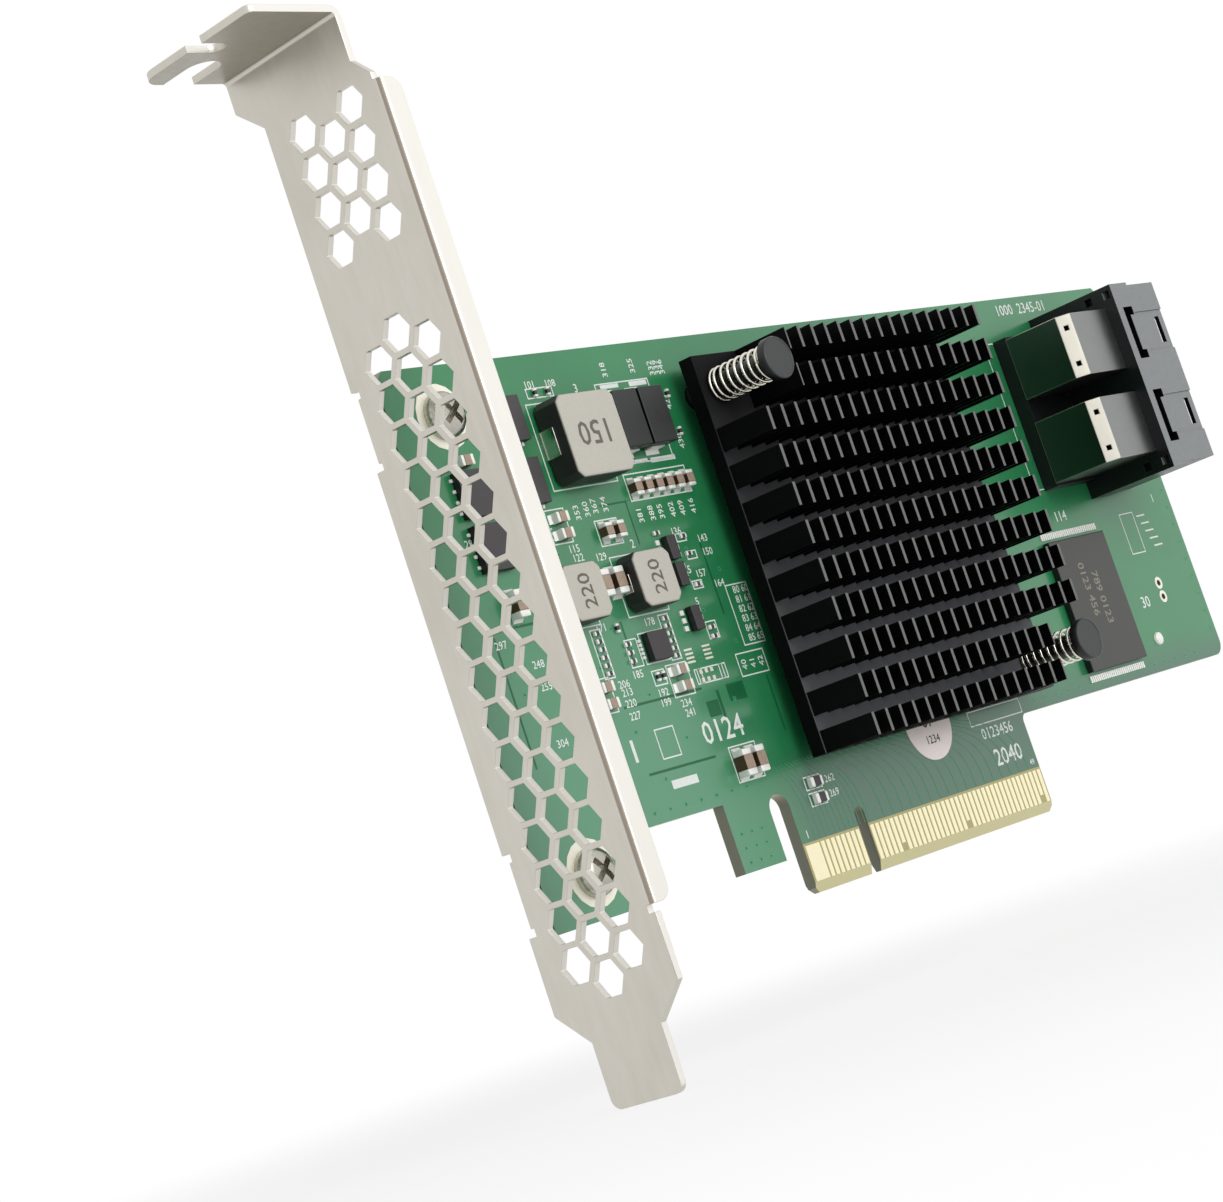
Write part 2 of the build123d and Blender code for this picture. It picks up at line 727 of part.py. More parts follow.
# Moulded contact wafers inside the cages
with BuildPart() as contact_wafers:
    with BuildSketch(socket_plane.offset(cage_base)):
        with Locations((-mating_length, 0)):
            with GridLocations(0, socket_pitch, 1, 2):
                Rectangle(
                    cage_length - cage_bevel - cage_sheet,
                    cage_width - 2 * cage_sheet,
                    align=(Align.MAX, Align.CENTER),
                )
    extrude(amount=cage_top - cage_sheet - cage_base)
finish(contact_wafers, "contact_wafers")

# Contact blocks at the bottom of each port, with two slots for the plug's paddles
block_plane = port_face.offset(port_depth)
with BuildPart() as contact_blocks:
    with BuildSketch(block_plane):
        with Locations((port_centre, 0)):
            with GridLocations(0, socket_pitch, 1, 2):
                Rectangle(block_height, block_width)
            with GridLocations(paddle_spacing, socket_pitch, 2, 2):
                Rectangle(paddle_slot, paddle_width, mode=Mode.SUBTRACT)
    extrude(amount=-block_length)
finish(contact_blocks, "contact_blocks")

# Press-fit tails behind the board
with BuildPart() as connector_tails:
    with BuildSketch(solder_face):
        with Locations((mating_left - cage_length / 2, socket_middle)):
            with GridLocations(0, socket_pitch, 1, 2):
                with GridLocations(tail_row_pitch, tail_pitch, tail_rows, tails_per_row):
                    Rectangle(tail_width, tail_width)
    extrude(amount=board_thickness - tail_length)
finish(connector_tails, "connector_tails")

# Flash memory and its leads
memory_height = board_height - socket_from_top - mating_width - memory_below_socket
memory_spot = (board_right - memory_from_right, memory_height - memory_span / 2)
with BuildPart() as memory_chip:
    with BuildSketch(component_face.offset(memory_standoff)):
        with Locations(memory_spot):
            Rectangle(memory_width, memory_length)
    extrude(amount=memory_thickness)
    chamfer(memory_chip.edges().group_by(Axis.Y)[0], memory_chamfer)
finish(memory_chip, "memory_chip")

memory_lead_reach = (memory_span - memory_length) / 2
with BuildPart() as memory_leads:
    with BuildSketch(component_face):
        with Locations(memory_spot):
            with GridLocations(
                memory_lead_pitch, memory_length + memory_lead_reach, memory_leads_per_side, 2
            ):
                Rectangle(memory_lead_width, memory_lead_reach)
    extrude(amount=memory_thickness / 2)
finish(memory_leads, "memory_leads")

# Power inductors, with metal clips folded up two sides
with BuildPart() as large_inductor:
    with BuildSketch(upper_left.offset(clip_thickness)):
        with Locations(large_inductor_spot):
            chamfer(Rectangle(large_inductor_size, large_inductor_size).vertices(), inductor_corner)
    extrude(amount=large_inductor_height - clip_thickness)
    chamfer(large_inductor.edges().group_by(Axis.Y)[0], inductor_corner / 4)
finish(large_inductor, "large_inductor")

with BuildPart() as small_inductors:
    with BuildSketch(upper_left.offset(clip_thickness)):
        with Locations(*small_inductor_spots):
            chamfer(Rectangle(small_inductor_size, small_inductor_size).vertices(), inductor_corner)
    extrude(amount=small_inductor_height - clip_thickness)
    chamfer(small_inductors.edges().group_by(Axis.Y)[0], inductor_corner / 4)
finish(small_inductors, "small_inductors")

with BuildPart() as inductor_clips:
    clip_sets = (
        ([large_inductor_spot], large_inductor_size, clip_width, large_inductor_height),
        (small_inductor_spots, small_inductor_size, small_clip_width, small_inductor_height),
    )
    for spots, body, width, height in clip_sets:
        with BuildSketch(upper_left):
            with Locations(*spots):
                with GridLocations(body - clip_foot + clip_thickness, 0, 2, 1):
                    Rectangle(clip_foot + clip_thickness, width)
        extrude(amount=clip_thickness)
        with BuildSketch(upper_left):
            with Locations(*spots):
                with GridLocations(body + clip_thickness, 0, 2, 1):
                    Rectangle(clip_thickness, width)
        extrude(amount=height * clip_share)
finish(inductor_clips, "inductor_clips")

# Polymer capacitors and their end tabs
with BuildPart() as polymer_capacitors:
    with BuildSketch(upper_left.offset(contact_thickness)):
        with Locations(*polymer_spots):
            Rectangle(polymer_width, polymer_length)
    extrude(amount=polymer_height - contact_thickness)
finish(polymer_capacitors, "polymer_capacitors")

with BuildPart() as polymer_terminals:
    with BuildSketch(upper_left):
        with Locations(*polymer_spots):
            with GridLocations(0, polymer_length + clip_thickness, 1, 2):
                Rectangle(polymer_terminal_width, clip_thickness)
    extrude(amount=polymer_terminal_height)
    with BuildSketch(upper_left):
        with Locations(*polymer_spots):
            with GridLocations(0, polymer_length, 1, 2):
                Rectangle(polymer_terminal_width, clip_foot)
    extrude(amount=contact_thickness)
finish(polymer_terminals, "polymer_terminals")

# Power transistors in flat packages; two have leads below, two have leads on the left
with BuildPart() as power_transistors:
    with BuildSketch(upper_left):
        with Locations(*lead_below_spots, *lead_left_spots):
            Rectangle(mosfet_width, mosfet_length)
    extrude(amount=mosfet_height)
finish(power_transistors, "power_transistors")

with BuildPart() as transistor_leads:
    with BuildSketch(upper_left):
        with Locations(*lead_below_spots):
            with Locations((0, -mosfet_length / 2 - lead_thickness)):
                with GridLocations(mosfet_lead_pitch, 0, 4, 1):
                    Rectangle(mosfet_lead_width, 2 * lead_thickness)
        with Locations(*lead_left_spots):
            with Locations((-mosfet_width / 2 - lead_thickness, 0)):
                with GridLocations(0, mosfet_lead_pitch, 1, 4):
                    Rectangle(2 * lead_thickness, mosfet_lead_width)
    extrude(amount=lead_thickness)
finish(transistor_leads, "transistor_leads")

# Ceramic chip capacitors: upright ones, and ones that lie along the card
capacitor_rows = GridLocations(capacitor_row_pitch, 0, capacitor_row_count, 1)
medium_upright_spots = [Pos(*capacitor_row) * spot for spot in capacitor_rows]
capacitor_columns = GridLocations(capacitor_pair_pitch, 0, 2, 1)
medium_upright_spots += [Pos(*capacitor_pair) * spot for spot in capacitor_columns]
medium_lying_spots = [Pos(*lone_capacitor_spot)]
for pair in lying_pairs:
    medium_lying_spots += [Pos(*pair) * spot for spot in GridLocations(0, lying_pair_pitch, 1, 2)]
chip_sets = (
    (large_chip_spots, large_chip_width, large_chip_length, large_chip_height, 0),
    (medium_upright_spots, medium_chip_width, medium_chip_length, medium_chip_height, 0),
    (medium_lying_spots, medium_chip_width, medium_chip_length, medium_chip_height, 90),
)

with BuildPart() as ceramic_capacitors:
    for spots, width, length, height, turn in chip_sets:
        with BuildSketch(upper_left):
            with Locations(*spots):
                Rectangle(width, length * (1 - 2 * terminal_share), rotation=turn)
        extrude(amount=height)
finish(ceramic_capacitors, "ceramic_capacitors")

with BuildPart() as capacitor_terminals:
    for spots, width, length, height, turn in chip_sets:
        shift = length * (1 - terminal_share)
        with BuildSketch(upper_left):
            with Locations(*spots):
                with PolarLocations(shift / 2, 2, start_angle=90 + turn):
                    Rectangle(length * terminal_share, width)
        extrude(amount=height)
finish(capacitor_terminals, "capacitor_terminals")

# Voltage converter and three small regulators, with their leads
with BuildPart() as converter_chip:
    with BuildSketch(upper_left.offset(memory_standoff)):
        with Locations(converter_spot):
            Rectangle(converter_width, converter_width)
    extrude(amount=converter_height - memory_standoff)
finish(converter_chip, "converter_chip")

with BuildPart() as regulator_chips:
    with BuildSketch(upper_left.offset(memory_standoff)):
        with Locations(*sot_spots):
            Rectangle(sot_width, sot_length)
    extrude(amount=converter_height - memory_standoff)
finish(regulator_chips, "regulator_chips")

converter_lead_span = converter_width + chip_lead_reach
with BuildPart() as chip_leads:
    with BuildSketch(upper_left):
        with Locations(converter_spot):
            with GridLocations(converter_lead_span, converter_lead_pitch, 2, converter_leads):
                Rectangle(chip_lead_reach, converter_lead_width)
        with Locations(*sot_spots):
            with GridLocations(sot_width + chip_lead_reach, sot_lead_pitch, 2, 3):
                Rectangle(chip_lead_reach, sot_lead_width)
    extrude(amount=converter_height / 2)
finish(chip_leads, "chip_leads")

# Round paper label on the board, partly under the heatsink
with BuildPart() as round_label:
    with BuildSketch(component_face):
        with Locations((label_place, label_height)):
            RegularPolygon(label_diameter / 2, label_sides)
    extrude(amount=label_thickness)
finish(round_label, "round_label")
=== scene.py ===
from contextlib import contextmanager
from functools import cache, cached_property
from math import cos, pi, radians, sin

import bmesh
import bpy
from bpy.props import FloatProperty, FloatVectorProperty, IntProperty, PointerProperty
from bpy.types import Operator, Panel, PropertyGroup
from mathutils import Matrix, Vector


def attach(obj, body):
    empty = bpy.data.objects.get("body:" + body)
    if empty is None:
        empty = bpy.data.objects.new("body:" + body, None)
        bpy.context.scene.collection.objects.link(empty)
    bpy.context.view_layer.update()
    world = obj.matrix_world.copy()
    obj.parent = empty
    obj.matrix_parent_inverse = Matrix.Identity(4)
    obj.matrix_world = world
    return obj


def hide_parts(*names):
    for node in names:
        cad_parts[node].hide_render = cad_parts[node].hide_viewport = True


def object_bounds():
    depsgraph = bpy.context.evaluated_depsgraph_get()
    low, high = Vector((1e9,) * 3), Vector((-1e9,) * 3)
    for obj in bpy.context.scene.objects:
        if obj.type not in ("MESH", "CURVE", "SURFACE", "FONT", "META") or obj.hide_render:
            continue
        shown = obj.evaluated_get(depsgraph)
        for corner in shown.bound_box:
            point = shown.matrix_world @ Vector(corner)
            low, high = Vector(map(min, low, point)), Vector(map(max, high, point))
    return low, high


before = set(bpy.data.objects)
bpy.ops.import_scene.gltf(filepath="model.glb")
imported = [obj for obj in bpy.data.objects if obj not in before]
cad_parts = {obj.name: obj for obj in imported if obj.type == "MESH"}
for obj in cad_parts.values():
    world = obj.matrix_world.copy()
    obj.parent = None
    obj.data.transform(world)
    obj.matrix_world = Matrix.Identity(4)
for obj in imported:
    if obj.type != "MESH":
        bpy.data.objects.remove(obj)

bl_info = {
    "name": "Storage Controller Card",
    "version": (1, 0, 0),
    "blender": (4, 5, 0),
    "location": "3D View > Sidebar > Controller Card",
    "description": "Finishes and fine pieces for a storage controller card with its bracket",
    "category": "Add Mesh",
}

MM = 0.001
CARD_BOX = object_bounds()

# Places in mm, along the card and up, as in the CAD source
BOARD_CORNER = (-56.3, 68.9)
SCREWS = ((-48.0, 62.9), (-48.0, 10.1))
PUSH_PINS = ((-4.4, 61.0), (38.6, 19.2))
PORTS = (57.95, 45.85)
MEMORY = (64.1, 24.75)

# Heights in mm, out from the board's component side
BOARD_BACK = -1.57
HEATSINK_BASE = 4.3
PIN_HEAD = 12.9
ETCHED = 0.008
INK = 0.012

# Sizes in mm
SPRING_WIRE = 0.42
LEAD_PITCH = 0.5
LINE_WIDTH = 0.16
NUMBER_SIZE = 0.95

# Faces that meet more flatly than this are shaded smooth
SMOOTH_ANGLE = radians(35)


# Places and colours

def at(along, out, up):
    """Place on the card in mm: along it, out from the component side, and up."""
    return Vector((along, -out, up)) * MM


def spot(right, down):
    """Place on the component side, measured in mm from its upper left corner."""
    return BOARD_CORNER[0] + right, BOARD_CORNER[1] + down


def stood(places, out=0):
    """Turn (right, down, turn) places on the board into places for copies at one height."""
    spots = [(*spot(right, down), turn) for right, down, turn in places]
    return [(along, out, up, turn) for along, up, turn in spots]


def linear(code):
    """Turn an sRGB hex colour into the linear colour that shaders read."""
    shares = [int(code[i:i + 2], 16) / 255 for i in (1, 3, 5)]
    return (*(s / 12.92 if s <= 0.04045 else ((s + 0.055) / 1.055) ** 2.4 for s in shares), 1.0)


def settings():
    return bpy.context.scene.controller_card


# Modelling by hand

def deselect():
    bpy.ops.object.select_all(action="DESELECT")


def bake_place():
    """Put the active piece's place, turn and scale into its mesh."""
    bpy.ops.object.transform_apply(location=True, rotation=True, scale=True)


@contextmanager
def editing():
    """Edit the active piece's mesh, all of it selected."""
    bpy.ops.object.mode_set(mode="EDIT")
    bpy.ops.mesh.select_all(action="SELECT")
    yield
    bpy.ops.object.mode_set(mode="OBJECT")


@contextmanager
def choosing():
    """Choose parts of the active piece's mesh while editing it."""
    shape = bmesh.from_edit_mesh(bpy.context.object.data)
    yield shape
    shape.select_flush_mode()
    bmesh.update_edit_mesh(bpy.context.object.data)


def pick(piece):
    """Select one piece alone and make it active."""
    deselect()
    piece.select_set(True)
    bpy.context.view_layer.objects.active = piece
    return piece


def added(shape, **choices):
    """Add a shape by its operator and put its place into its mesh."""
    deselect()
    shape(**choices)
    bake_place()
    return bpy.context.object


def block(along, out, up, length, depth, height):
    """Add a block round its middle, sizes along the card, out from it and up."""
    return added(
        bpy.ops.mesh.primitive_cube_add, size=MM, location=at(along, out, up),
        scale=(length, depth, height))


def bars(places, thickness):
    """Lay flat bars on the board: (along, up, length, height) in mm."""
    return [
        block(along, thickness / 2, up, length, thickness, height)
        for along, up, length, height in places]


def apply_modifier(piece, kind, **values):
    """Add one modifier, set it and apply it."""
    pick(piece)
    modifier = piece.modifiers.new(kind.title(), kind)
    for key, value in values.items():
        setattr(modifier, key, value)
    bpy.ops.object.modifier_apply(modifier=modifier.name)
    return piece


def cut(piece, tool, **values):
    """Cut one piece by another, which goes."""
    apply_modifier(piece, "BOOLEAN", operation="DIFFERENCE", object=tool, **values)
    bpy.data.objects.remove(tool)


def soften(piece, width, segments=2, angle=30):
    """Round the edges of a piece by a width in mm and shade it smooth."""
    apply_modifier(
        piece, "BEVEL", width=width * MM, segments=segments,
        limit_method="ANGLE", angle_limit=radians(angle), use_clamp_overlap=True,
    )
    bpy.ops.object.shade_smooth_by_angle(angle=SMOOTH_ANGLE)
    return apply_modifier(piece, "WEIGHTED_NORMAL", weight=80, keep_sharp=True)


def softened_copy(node, width, segments=2, angle=30):
    """Copy a CAD node, merge its loose triangles and round its edges."""
    piece = bpy.data.objects.new(node + "_copy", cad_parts[node].data.copy())
    bpy.context.collection.objects.link(piece)
    pick(piece)
    with editing():
        bpy.ops.mesh.remove_doubles(threshold=0.002 * MM)
        bpy.ops.mesh.dissolve_limited(angle_limit=radians(1))
    return soften(piece, width, segments, angle)


def turned(along, up, steps, sides):
    """Turn a round piece that stands on the board: (radius, height) steps in mm from its foot."""
    radius, height = steps[0]
    piece = added(
        bpy.ops.mesh.primitive_circle_add, vertices=sides, radius=radius * MM,
        fill_type="NGON", location=at(along, height, up), rotation=(pi / 2, 0, 0))
    with editing():
        for new_radius, new_height in steps[1:]:
            bpy.ops.mesh.extrude_region_move(
                TRANSFORM_OT_translate={"value": (0, (height - new_height) * MM, 0)})
            shape = bmesh.from_edit_mesh(piece.data)
            centre = at(along, new_height, up)
            for vertex in shape.verts:
                if vertex.select:
                    vertex.co = centre + (vertex.co - centre) * (new_radius / radius)
            bmesh.update_edit_mesh(piece.data)
            radius, height = new_radius, new_height
        bpy.ops.mesh.select_all(action="SELECT")
        bpy.ops.mesh.normals_make_consistent(inside=False)
    bpy.ops.object.shade_smooth_by_angle(angle=SMOOTH_ANGLE)
    return piece


def joined(pieces):
    """Join pieces into the first of them."""
    pick(pieces[0])
    for piece in pieces[1:]:
        piece.select_set(True)
    if len(pieces) > 1:
        bpy.ops.object.join()
    return pieces[0]


def repeated(model, places):
    """Copy a piece modelled at the origin to (along, out, up, turn) places and join the copies."""
    copies = []
    for along, out, up, turn in places:
        copy = model.copy()
        copy.data = model.data.copy()
        bpy.context.collection.objects.link(copy)
        place = Matrix.Translation(at(along, out, up))
        copy.matrix_world = place @ Matrix.Rotation(-radians(turn), 4, "Y")
        copies.append(copy)
    bpy.data.objects.remove(model)
    return joined(copies)


def settle(piece, name, slot, *materials, replaces=None):
    """Put a finished piece's place into its mesh, dress it, and let it ride on the card, instead
    of the CAD node that it replaces."""
    pick(piece)
    bake_place()
    piece.name = piece.data.name = name
    if materials:
        piece.data.materials.clear()
    for material in materials:
        piece.data.materials.append(material)
    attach(piece, "root")
    if replaces:
        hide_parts(replaces)


def refine(node, name, slot, material, width, segments=2, angle=30):
    """Put a finished copy of a CAD node, its edges rounded by a width in mm, in its place."""
    settle(softened_copy(node, width, segments, angle), name, slot, material, replaces=node)


def dress(node, material):
    """Give a CAD node its material."""
    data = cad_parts[node].data
    data.materials.clear()
    data.materials.append(material)


# Finishes

def feed(tree, node, inputs):
    """Give inputs of a node their values, or link them to other nodes' outputs."""
    for key, value in inputs.items():
        if isinstance(value, bpy.types.NodeSocket):
            tree.links.new(value, node.inputs[key])
        else:
            node.inputs[key].default_value = value


def add_node(tree, kind, inputs=None, **choices):
    """Add one shader node with its choices and inputs."""
    node = tree.nodes.new(kind)
    for key, value in choices.items():
        setattr(node, key, value)
    feed(tree, node, inputs or {})
    return node


def seen_directly(tree):
    """Share that is 1 for what the camera sees straight, mirrored or through something."""
    rays = add_node(tree, "ShaderNodeLightPath").outputs
    direct = add_node(
        tree, "ShaderNodeMath", {0: rays["Is Camera Ray"], 1: rays["Is Glossy Ray"]},
        operation="ADD")
    return add_node(
        tree, "ShaderNodeMath", {0: direct.outputs[0], 1: rays["Is Transmission Ray"]},
        operation="ADD", use_clamp=True).outputs[0]


class Finish:
    """A material whose tone, gloss and relief follow one grain in mm, and ways to add to it."""

    def __init__(self, name, low, high, grain, relief, roughness, spread=0.08, metallic=0.0,
                 stretch=(1, 1, 1)):
        self.material = bpy.data.materials.new(name)
        self.material.use_nodes = True
        self.tree = self.material.node_tree
        self.shader = self.tree.nodes["Principled BSDF"]
        self.place = self.add("ShaderNodeTexCoord").outputs["Object"]
        drawn = self.add("ShaderNodeMapping", {"Scale": stretch, "Vector": self.place}).outputs[0]
        noise = self.add("ShaderNodeTexNoise", {
            "Scale": 1 / (grain * MM), "Detail": 3.0, "Roughness": 0.6, "Vector": drawn})
        fleck = noise.outputs["Fac"]
        self.tone = self.blend(fleck, linear(low), high)
        bump = self.add(
            "ShaderNodeBump", {"Strength": 0.6, "Distance": relief * MM, "Height": fleck})
        self.set({
            "Base Color": self.tone, "Metallic": metallic, "Normal": bump.outputs[0],
            "Roughness": self.ramp(fleck, 0.3, 0.7, roughness - spread, roughness + spread)})

    @cached_property
    def at(self):
        """Where the surface lies: its X, Y and Z in the frame."""
        return self.add("ShaderNodeSeparateXYZ", {0: self.place}).outputs

    @cached_property
    def facing(self):
        """Which way the surface faces, with its X, Y and Z parts."""
        normal = self.add("ShaderNodeNewGeometry").outputs["True Normal"]
        return self.add("ShaderNodeSeparateXYZ", {0: normal}).outputs

    def add(self, kind, inputs=None, **choices):
        return add_node(self.tree, kind, inputs, **choices)

    def set(self, inputs):
        """Set or link inputs of the surface's own shader, and return the material."""
        feed(self.tree, self.shader, inputs)
        return self.material

    def math(self, operation, first, second=0.0):
        return self.add("ShaderNodeMath", {0: first, 1: second}, operation=operation).outputs[0]

    def both(self, first, second):
        return self.math("MULTIPLY", first, second)

    def ramp(self, source, start, end, low=0.0, high=1.0, **choices):
        """Go from low to high while the source goes from start to end."""
        return self.add("ShaderNodeMapRange", {
            "Value": source, "From Min": start, "From Max": end, "To Min": low, "To Max": high,
        }, **choices).outputs[0]

    def blend(self, share, under, code):
        """Lay an sRGB hex colour over another tone by a share."""
        return self.mix(share, under, linear(code))

    def mix(self, share, under, over):
        return self.add("ShaderNodeMix", {0: share, 6: under, 7: over}, data_type="RGBA").outputs[2]

    def paint_side_shade(self, code, depth=0.0):
        """Paint shade on all but the faces that look out from the board and lie past a depth in mm:
        a darker colour that stands in for their shade.
        """
        side = self.ramp(self.facing["Y"], -0.75, -0.35)
        sunk = self.ramp(self.at["Y"], -(depth + 0.3) * MM, -depth * MM)
        share = self.math("MAXIMUM", side, sunk)
        return self.set({"Base Color": self.blend(share, self.tone, code)})


def finish(*values, sides=None, depth=0.0):
    """Name a finish of one grain, which is made once, when it is first asked for; sides, if given,
    is the colour of painted shade laid on all but its outward faces.
    """
    @cache
    def make():
        made = Finish(*values)
        return made.paint_side_shade(sides, depth) if sides else made.material
    return make


@cache
def solder_mask():
    """Green solder mask over copper on glass-epoxy board: glossy and deep green, its pale sheen
    partly painted.
    The contact tongue's foot and the cut edges show the cream laminate, the sides along the card a
    painted olive shade."""
    mask = Finish("Green solder mask on FR-4", "#1F7546", "#2C8754", 7.0, 0.003, 0.34, 0.05)
    along, up = mask.at["X"], mask.at["Z"]
    # Glass cloth under the mask, barely raised
    cloth = mask.add(
        "ShaderNodeTexWave", {"Scale": 0.15 / MM, "Distortion": 0.6, "Vector": mask.place},
        bands_direction="DIAGONAL")
    weave = mask.add(
        "ShaderNodeBump", {"Strength": 0.1, "Distance": 0.002 * MM, "Height": cloth.outputs["Fac"]})
    # Bare laminate below the mask's edge, 5.9 mm up the contact tongue and no further left
    low = mask.math("LESS_THAN", up, 5.9 * MM)
    tongue = mask.math("GREATER_THAN", along, -12.3 * MM)
    cut_edge = mask.math("LESS_THAN", mask.math("ABSOLUTE", mask.facing["Y"]), 0.98)
    laminate = mask.math("MAXIMUM", mask.both(low, tongue), cut_edge)
    # Painted shade: the cut edges that face along the card are made olive, the rest cream
    sideways = mask.math("ABSOLUTE", mask.facing["X"])
    laminate_and_side_shade = mask.blend(sideways, tuple(settings().edge_cream), "#5E6048")
    # Between the fingers, above the bevelled strip, the laminate is darker
    above_strip = mask.ramp(up, 1.2 * MM, 1.35 * MM)
    between = mask.both(above_strip, mask.math("SUBTRACT", 1.0, cut_edge))
    foot = mask.blend(between, laminate_and_side_shade, "#A79F62")
    # Copper tracks crowd the tongue and grey the mask over them
    crowd = mask.ramp(up, 17.5 * MM, 13.0 * MM, 0.0, 0.85)
    right_of_leg = mask.ramp(along, -14.0 * MM, -9.0 * MM)
    greyer = mask.blend(mask.both(crowd, right_of_leg), mask.tone, "#406755")
    # Painted sheen: the mask is made paler towards the lower left
    low_down = mask.ramp(up, 48 * MM, 22 * MM)
    far_left = mask.ramp(along, -10 * MM, -26 * MM)
    painted_sheen_tone = mask.blend(mask.both(low_down, far_left), greyer, "#4C8F6A")
    # Its gloss falls off towards the upper left
    high_up = mask.ramp(up, 48 * MM, 64 * MM)
    left_half = mask.ramp(along, 30 * MM, -10 * MM)
    coat = mask.ramp(mask.both(high_up, left_half), 0, 1, 0.75, 0.4)
    return mask.set({
        "Base Color": mask.mix(laminate, painted_sheen_tone, foot), "Normal": weave.outputs[0],
        "IOR": 1.52, "Coat Weight": coat, "Coat Roughness": 0.14})


# The same solder mask where it runs over raised copper tracks: paler and brighter.
mask_over_tracks = finish(
    "Solder mask over copper tracks", "#3C9464", "#4BA173", 3.0, 0.002, 0.3, 0.05)

# The same solder mask where the copper is etched away: darker, the resin showing through.
mask_over_laminate = finish(
    "Solder mask over bare laminate", "#0E5A34", "#14653C", 3.0, 0.002, 0.34, 0.05)

# Electroplated hard gold on the contact fingers: pale cream yellow and satin.
hard_gold = finish("Hard gold plating", "#FAF0C4", "#FFF9DA", 1.6, 0.001, 0.36, 0.05, 0.8)

# Immersion gold over nickel on the bare pads and rings: cream and satin.
pad_plating = finish("Immersion gold pads", "#EBE7D3", "#FAF8EC", 0.8, 0.002, 0.42, 0.06, 0.4)


@cache
def bracket_nickel():
    """Nickel-plated steel sheet, barrel plated after folding: satin warm grey with a faint drawn
    grain and darker handling smudges."""
    plate = Finish(
        "Nickel-plated sheet steel", "#C7C3B8", "#DAD6CD", 1.2, 0.002, 0.38, 0.05, 0.85,
        (1, 1, 0.2))
    cloud = plate.add(
        "ShaderNodeTexNoise", {"Scale": 1 / (18 * MM), "Detail": 2.0, "Vector": plate.place})
    smudge = plate.ramp(cloud.outputs["Fac"], 0.45, 0.75, 0.0, 0.22)
    worn = plate.blend(smudge, plate.tone, "#A59F92")
    # Painted dark reflection: the fold between the face and the flange is made brown there, and
    # matte
    folded = plate.ramp(plate.both(plate.facing["X"], plate.facing["Y"]), 0.33, 0.44, 0.0, 0.85)
    dark_fold_reflection = plate.both(folded, plate.math("LESS_THAN", plate.at["Y"], -14.5 * MM))
    # Painted highlight: faces that look out like the flange are made nearly white
    flange_highlight = plate.ramp(plate.facing["Y"], -0.8, -0.95, 0.0, 0.9)
    plated = plate.blend(dark_fold_reflection, plate.blend(flange_highlight, worn, "#F8F5EE"), "#8A7D6C")
    # Painted shade: the screw tab's underside is made darker
    under = plate.math("LESS_THAN", plate.facing["Z"], -0.9)
    shaded_tab_underside = plate.both(under, plate.math("GREATER_THAN", plate.at["Z"], 100 * MM))
    # The punched walls of the vents take the flange's painted highlight and are made matte
    inward = plate.math("GREATER_THAN", plate.at["Y"], -14.5 * MM)
    punched = plate.both(inward, plate.math("LESS_THAN", plate.at["X"], -69.2 * MM))
    matte = plate.math("MAXIMUM", dark_fold_reflection, plate.both(punched, flange_highlight))
    return plate.set({
        "Base Color": plate.blend(shaded_tab_underside, plated, "#ABA69B"),
        "Metallic": plate.ramp(matte, 0, 1, 0.85, 0.0)})


# Nickel-plated machine screw steel: brighter and smoother than the sheet.
screw_nickel = finish(
    "Nickel-plated screw steel", "#A9A69C", "#C9C6BC", 0.4, 0.002, 0.26, 0.06, 1.0)

# Matte tin and solder: soft silver with a slightly frosted skin.
tin = finish("Tin plating and solder", "#E8E8E2", "#FAFAF6", 0.3, 0.004, 0.42, 0.08, 0.15)

# Bright tinned copper strip of the inductors' clips: mirrors the board beside it.
bright_strip = finish(
    "Bright tinned copper strip", "#C2C1B8", "#D4D3CA", 0.4, 0.001, 0.2, 0.04, 1.0)


@cache
def black_anodised():
    """Black anodised aluminium: deep satin black, with the sawn fins' tips worn greyer."""
    skin = Finish("Black anodised aluminium", "#030304", "#0A0A0B", 0.6, 0.003, 0.48, 0.06)
    tip = skin.ramp(skin.at["Y"], -12.36 * MM, -12.4 * MM, 0.0, 0.8)
    worn = skin.blend(tip, skin.tone, "#7E7F7D")
    # Painted sheen on the milled floor between the rows: greyer than the sawn fins, most of all
    # towards the foot
    outward = skin.math("LESS_THAN", skin.facing["Y"], -0.9)
    floor = skin.math("GREATER_THAN", skin.at["Y"], -4.6 * MM)
    lower = skin.ramp(skin.at["Z"], 62 * MM, 24 * MM, 0.05, 1.0)
    painted_floor_sheen = skin.both(skin.both(outward, floor), lower)
    return skin.set({"Specular IOR Level": 0.08, "Base Color": skin.blend(painted_floor_sheen, worn, "#5C5D60")})


# Grey silicone gap pad: soft, matte, filled with ceramic powder.
heat_pad = finish("Silicone gap pad", "#8E939A", "#A4A9B0", 0.3, 0.01, 0.85)

# Nickel-plated copper lid of the controller package: satin grey.
lid_nickel = finish("Nickel-plated copper lid", "#A7A7A3", "#BDBDB8", 0.3, 0.002, 0.4, 0.06, 1.0)

# Package laminate under dark green mask.
package_laminate = finish("Package laminate", "#1F4A35", "#2B5C43", 1.0, 0.004, 0.45)

# Black moulded nylon of the push pins: near black, all but the flat of the head darkened further by
# painted shade.
pin_nylon = finish(
    "Moulded black nylon", "#2A2D2E", "#343838", 0.5, 0.004, 0.42, sides="#050506", depth=13.7)

# Nickel-plated music wire: bright, drawn smooth.
spring_steel = finish("Plated music wire", "#D8D4C6", "#F0EDE2", 0.3, 0.001, 0.22, 0.05, 1.0)


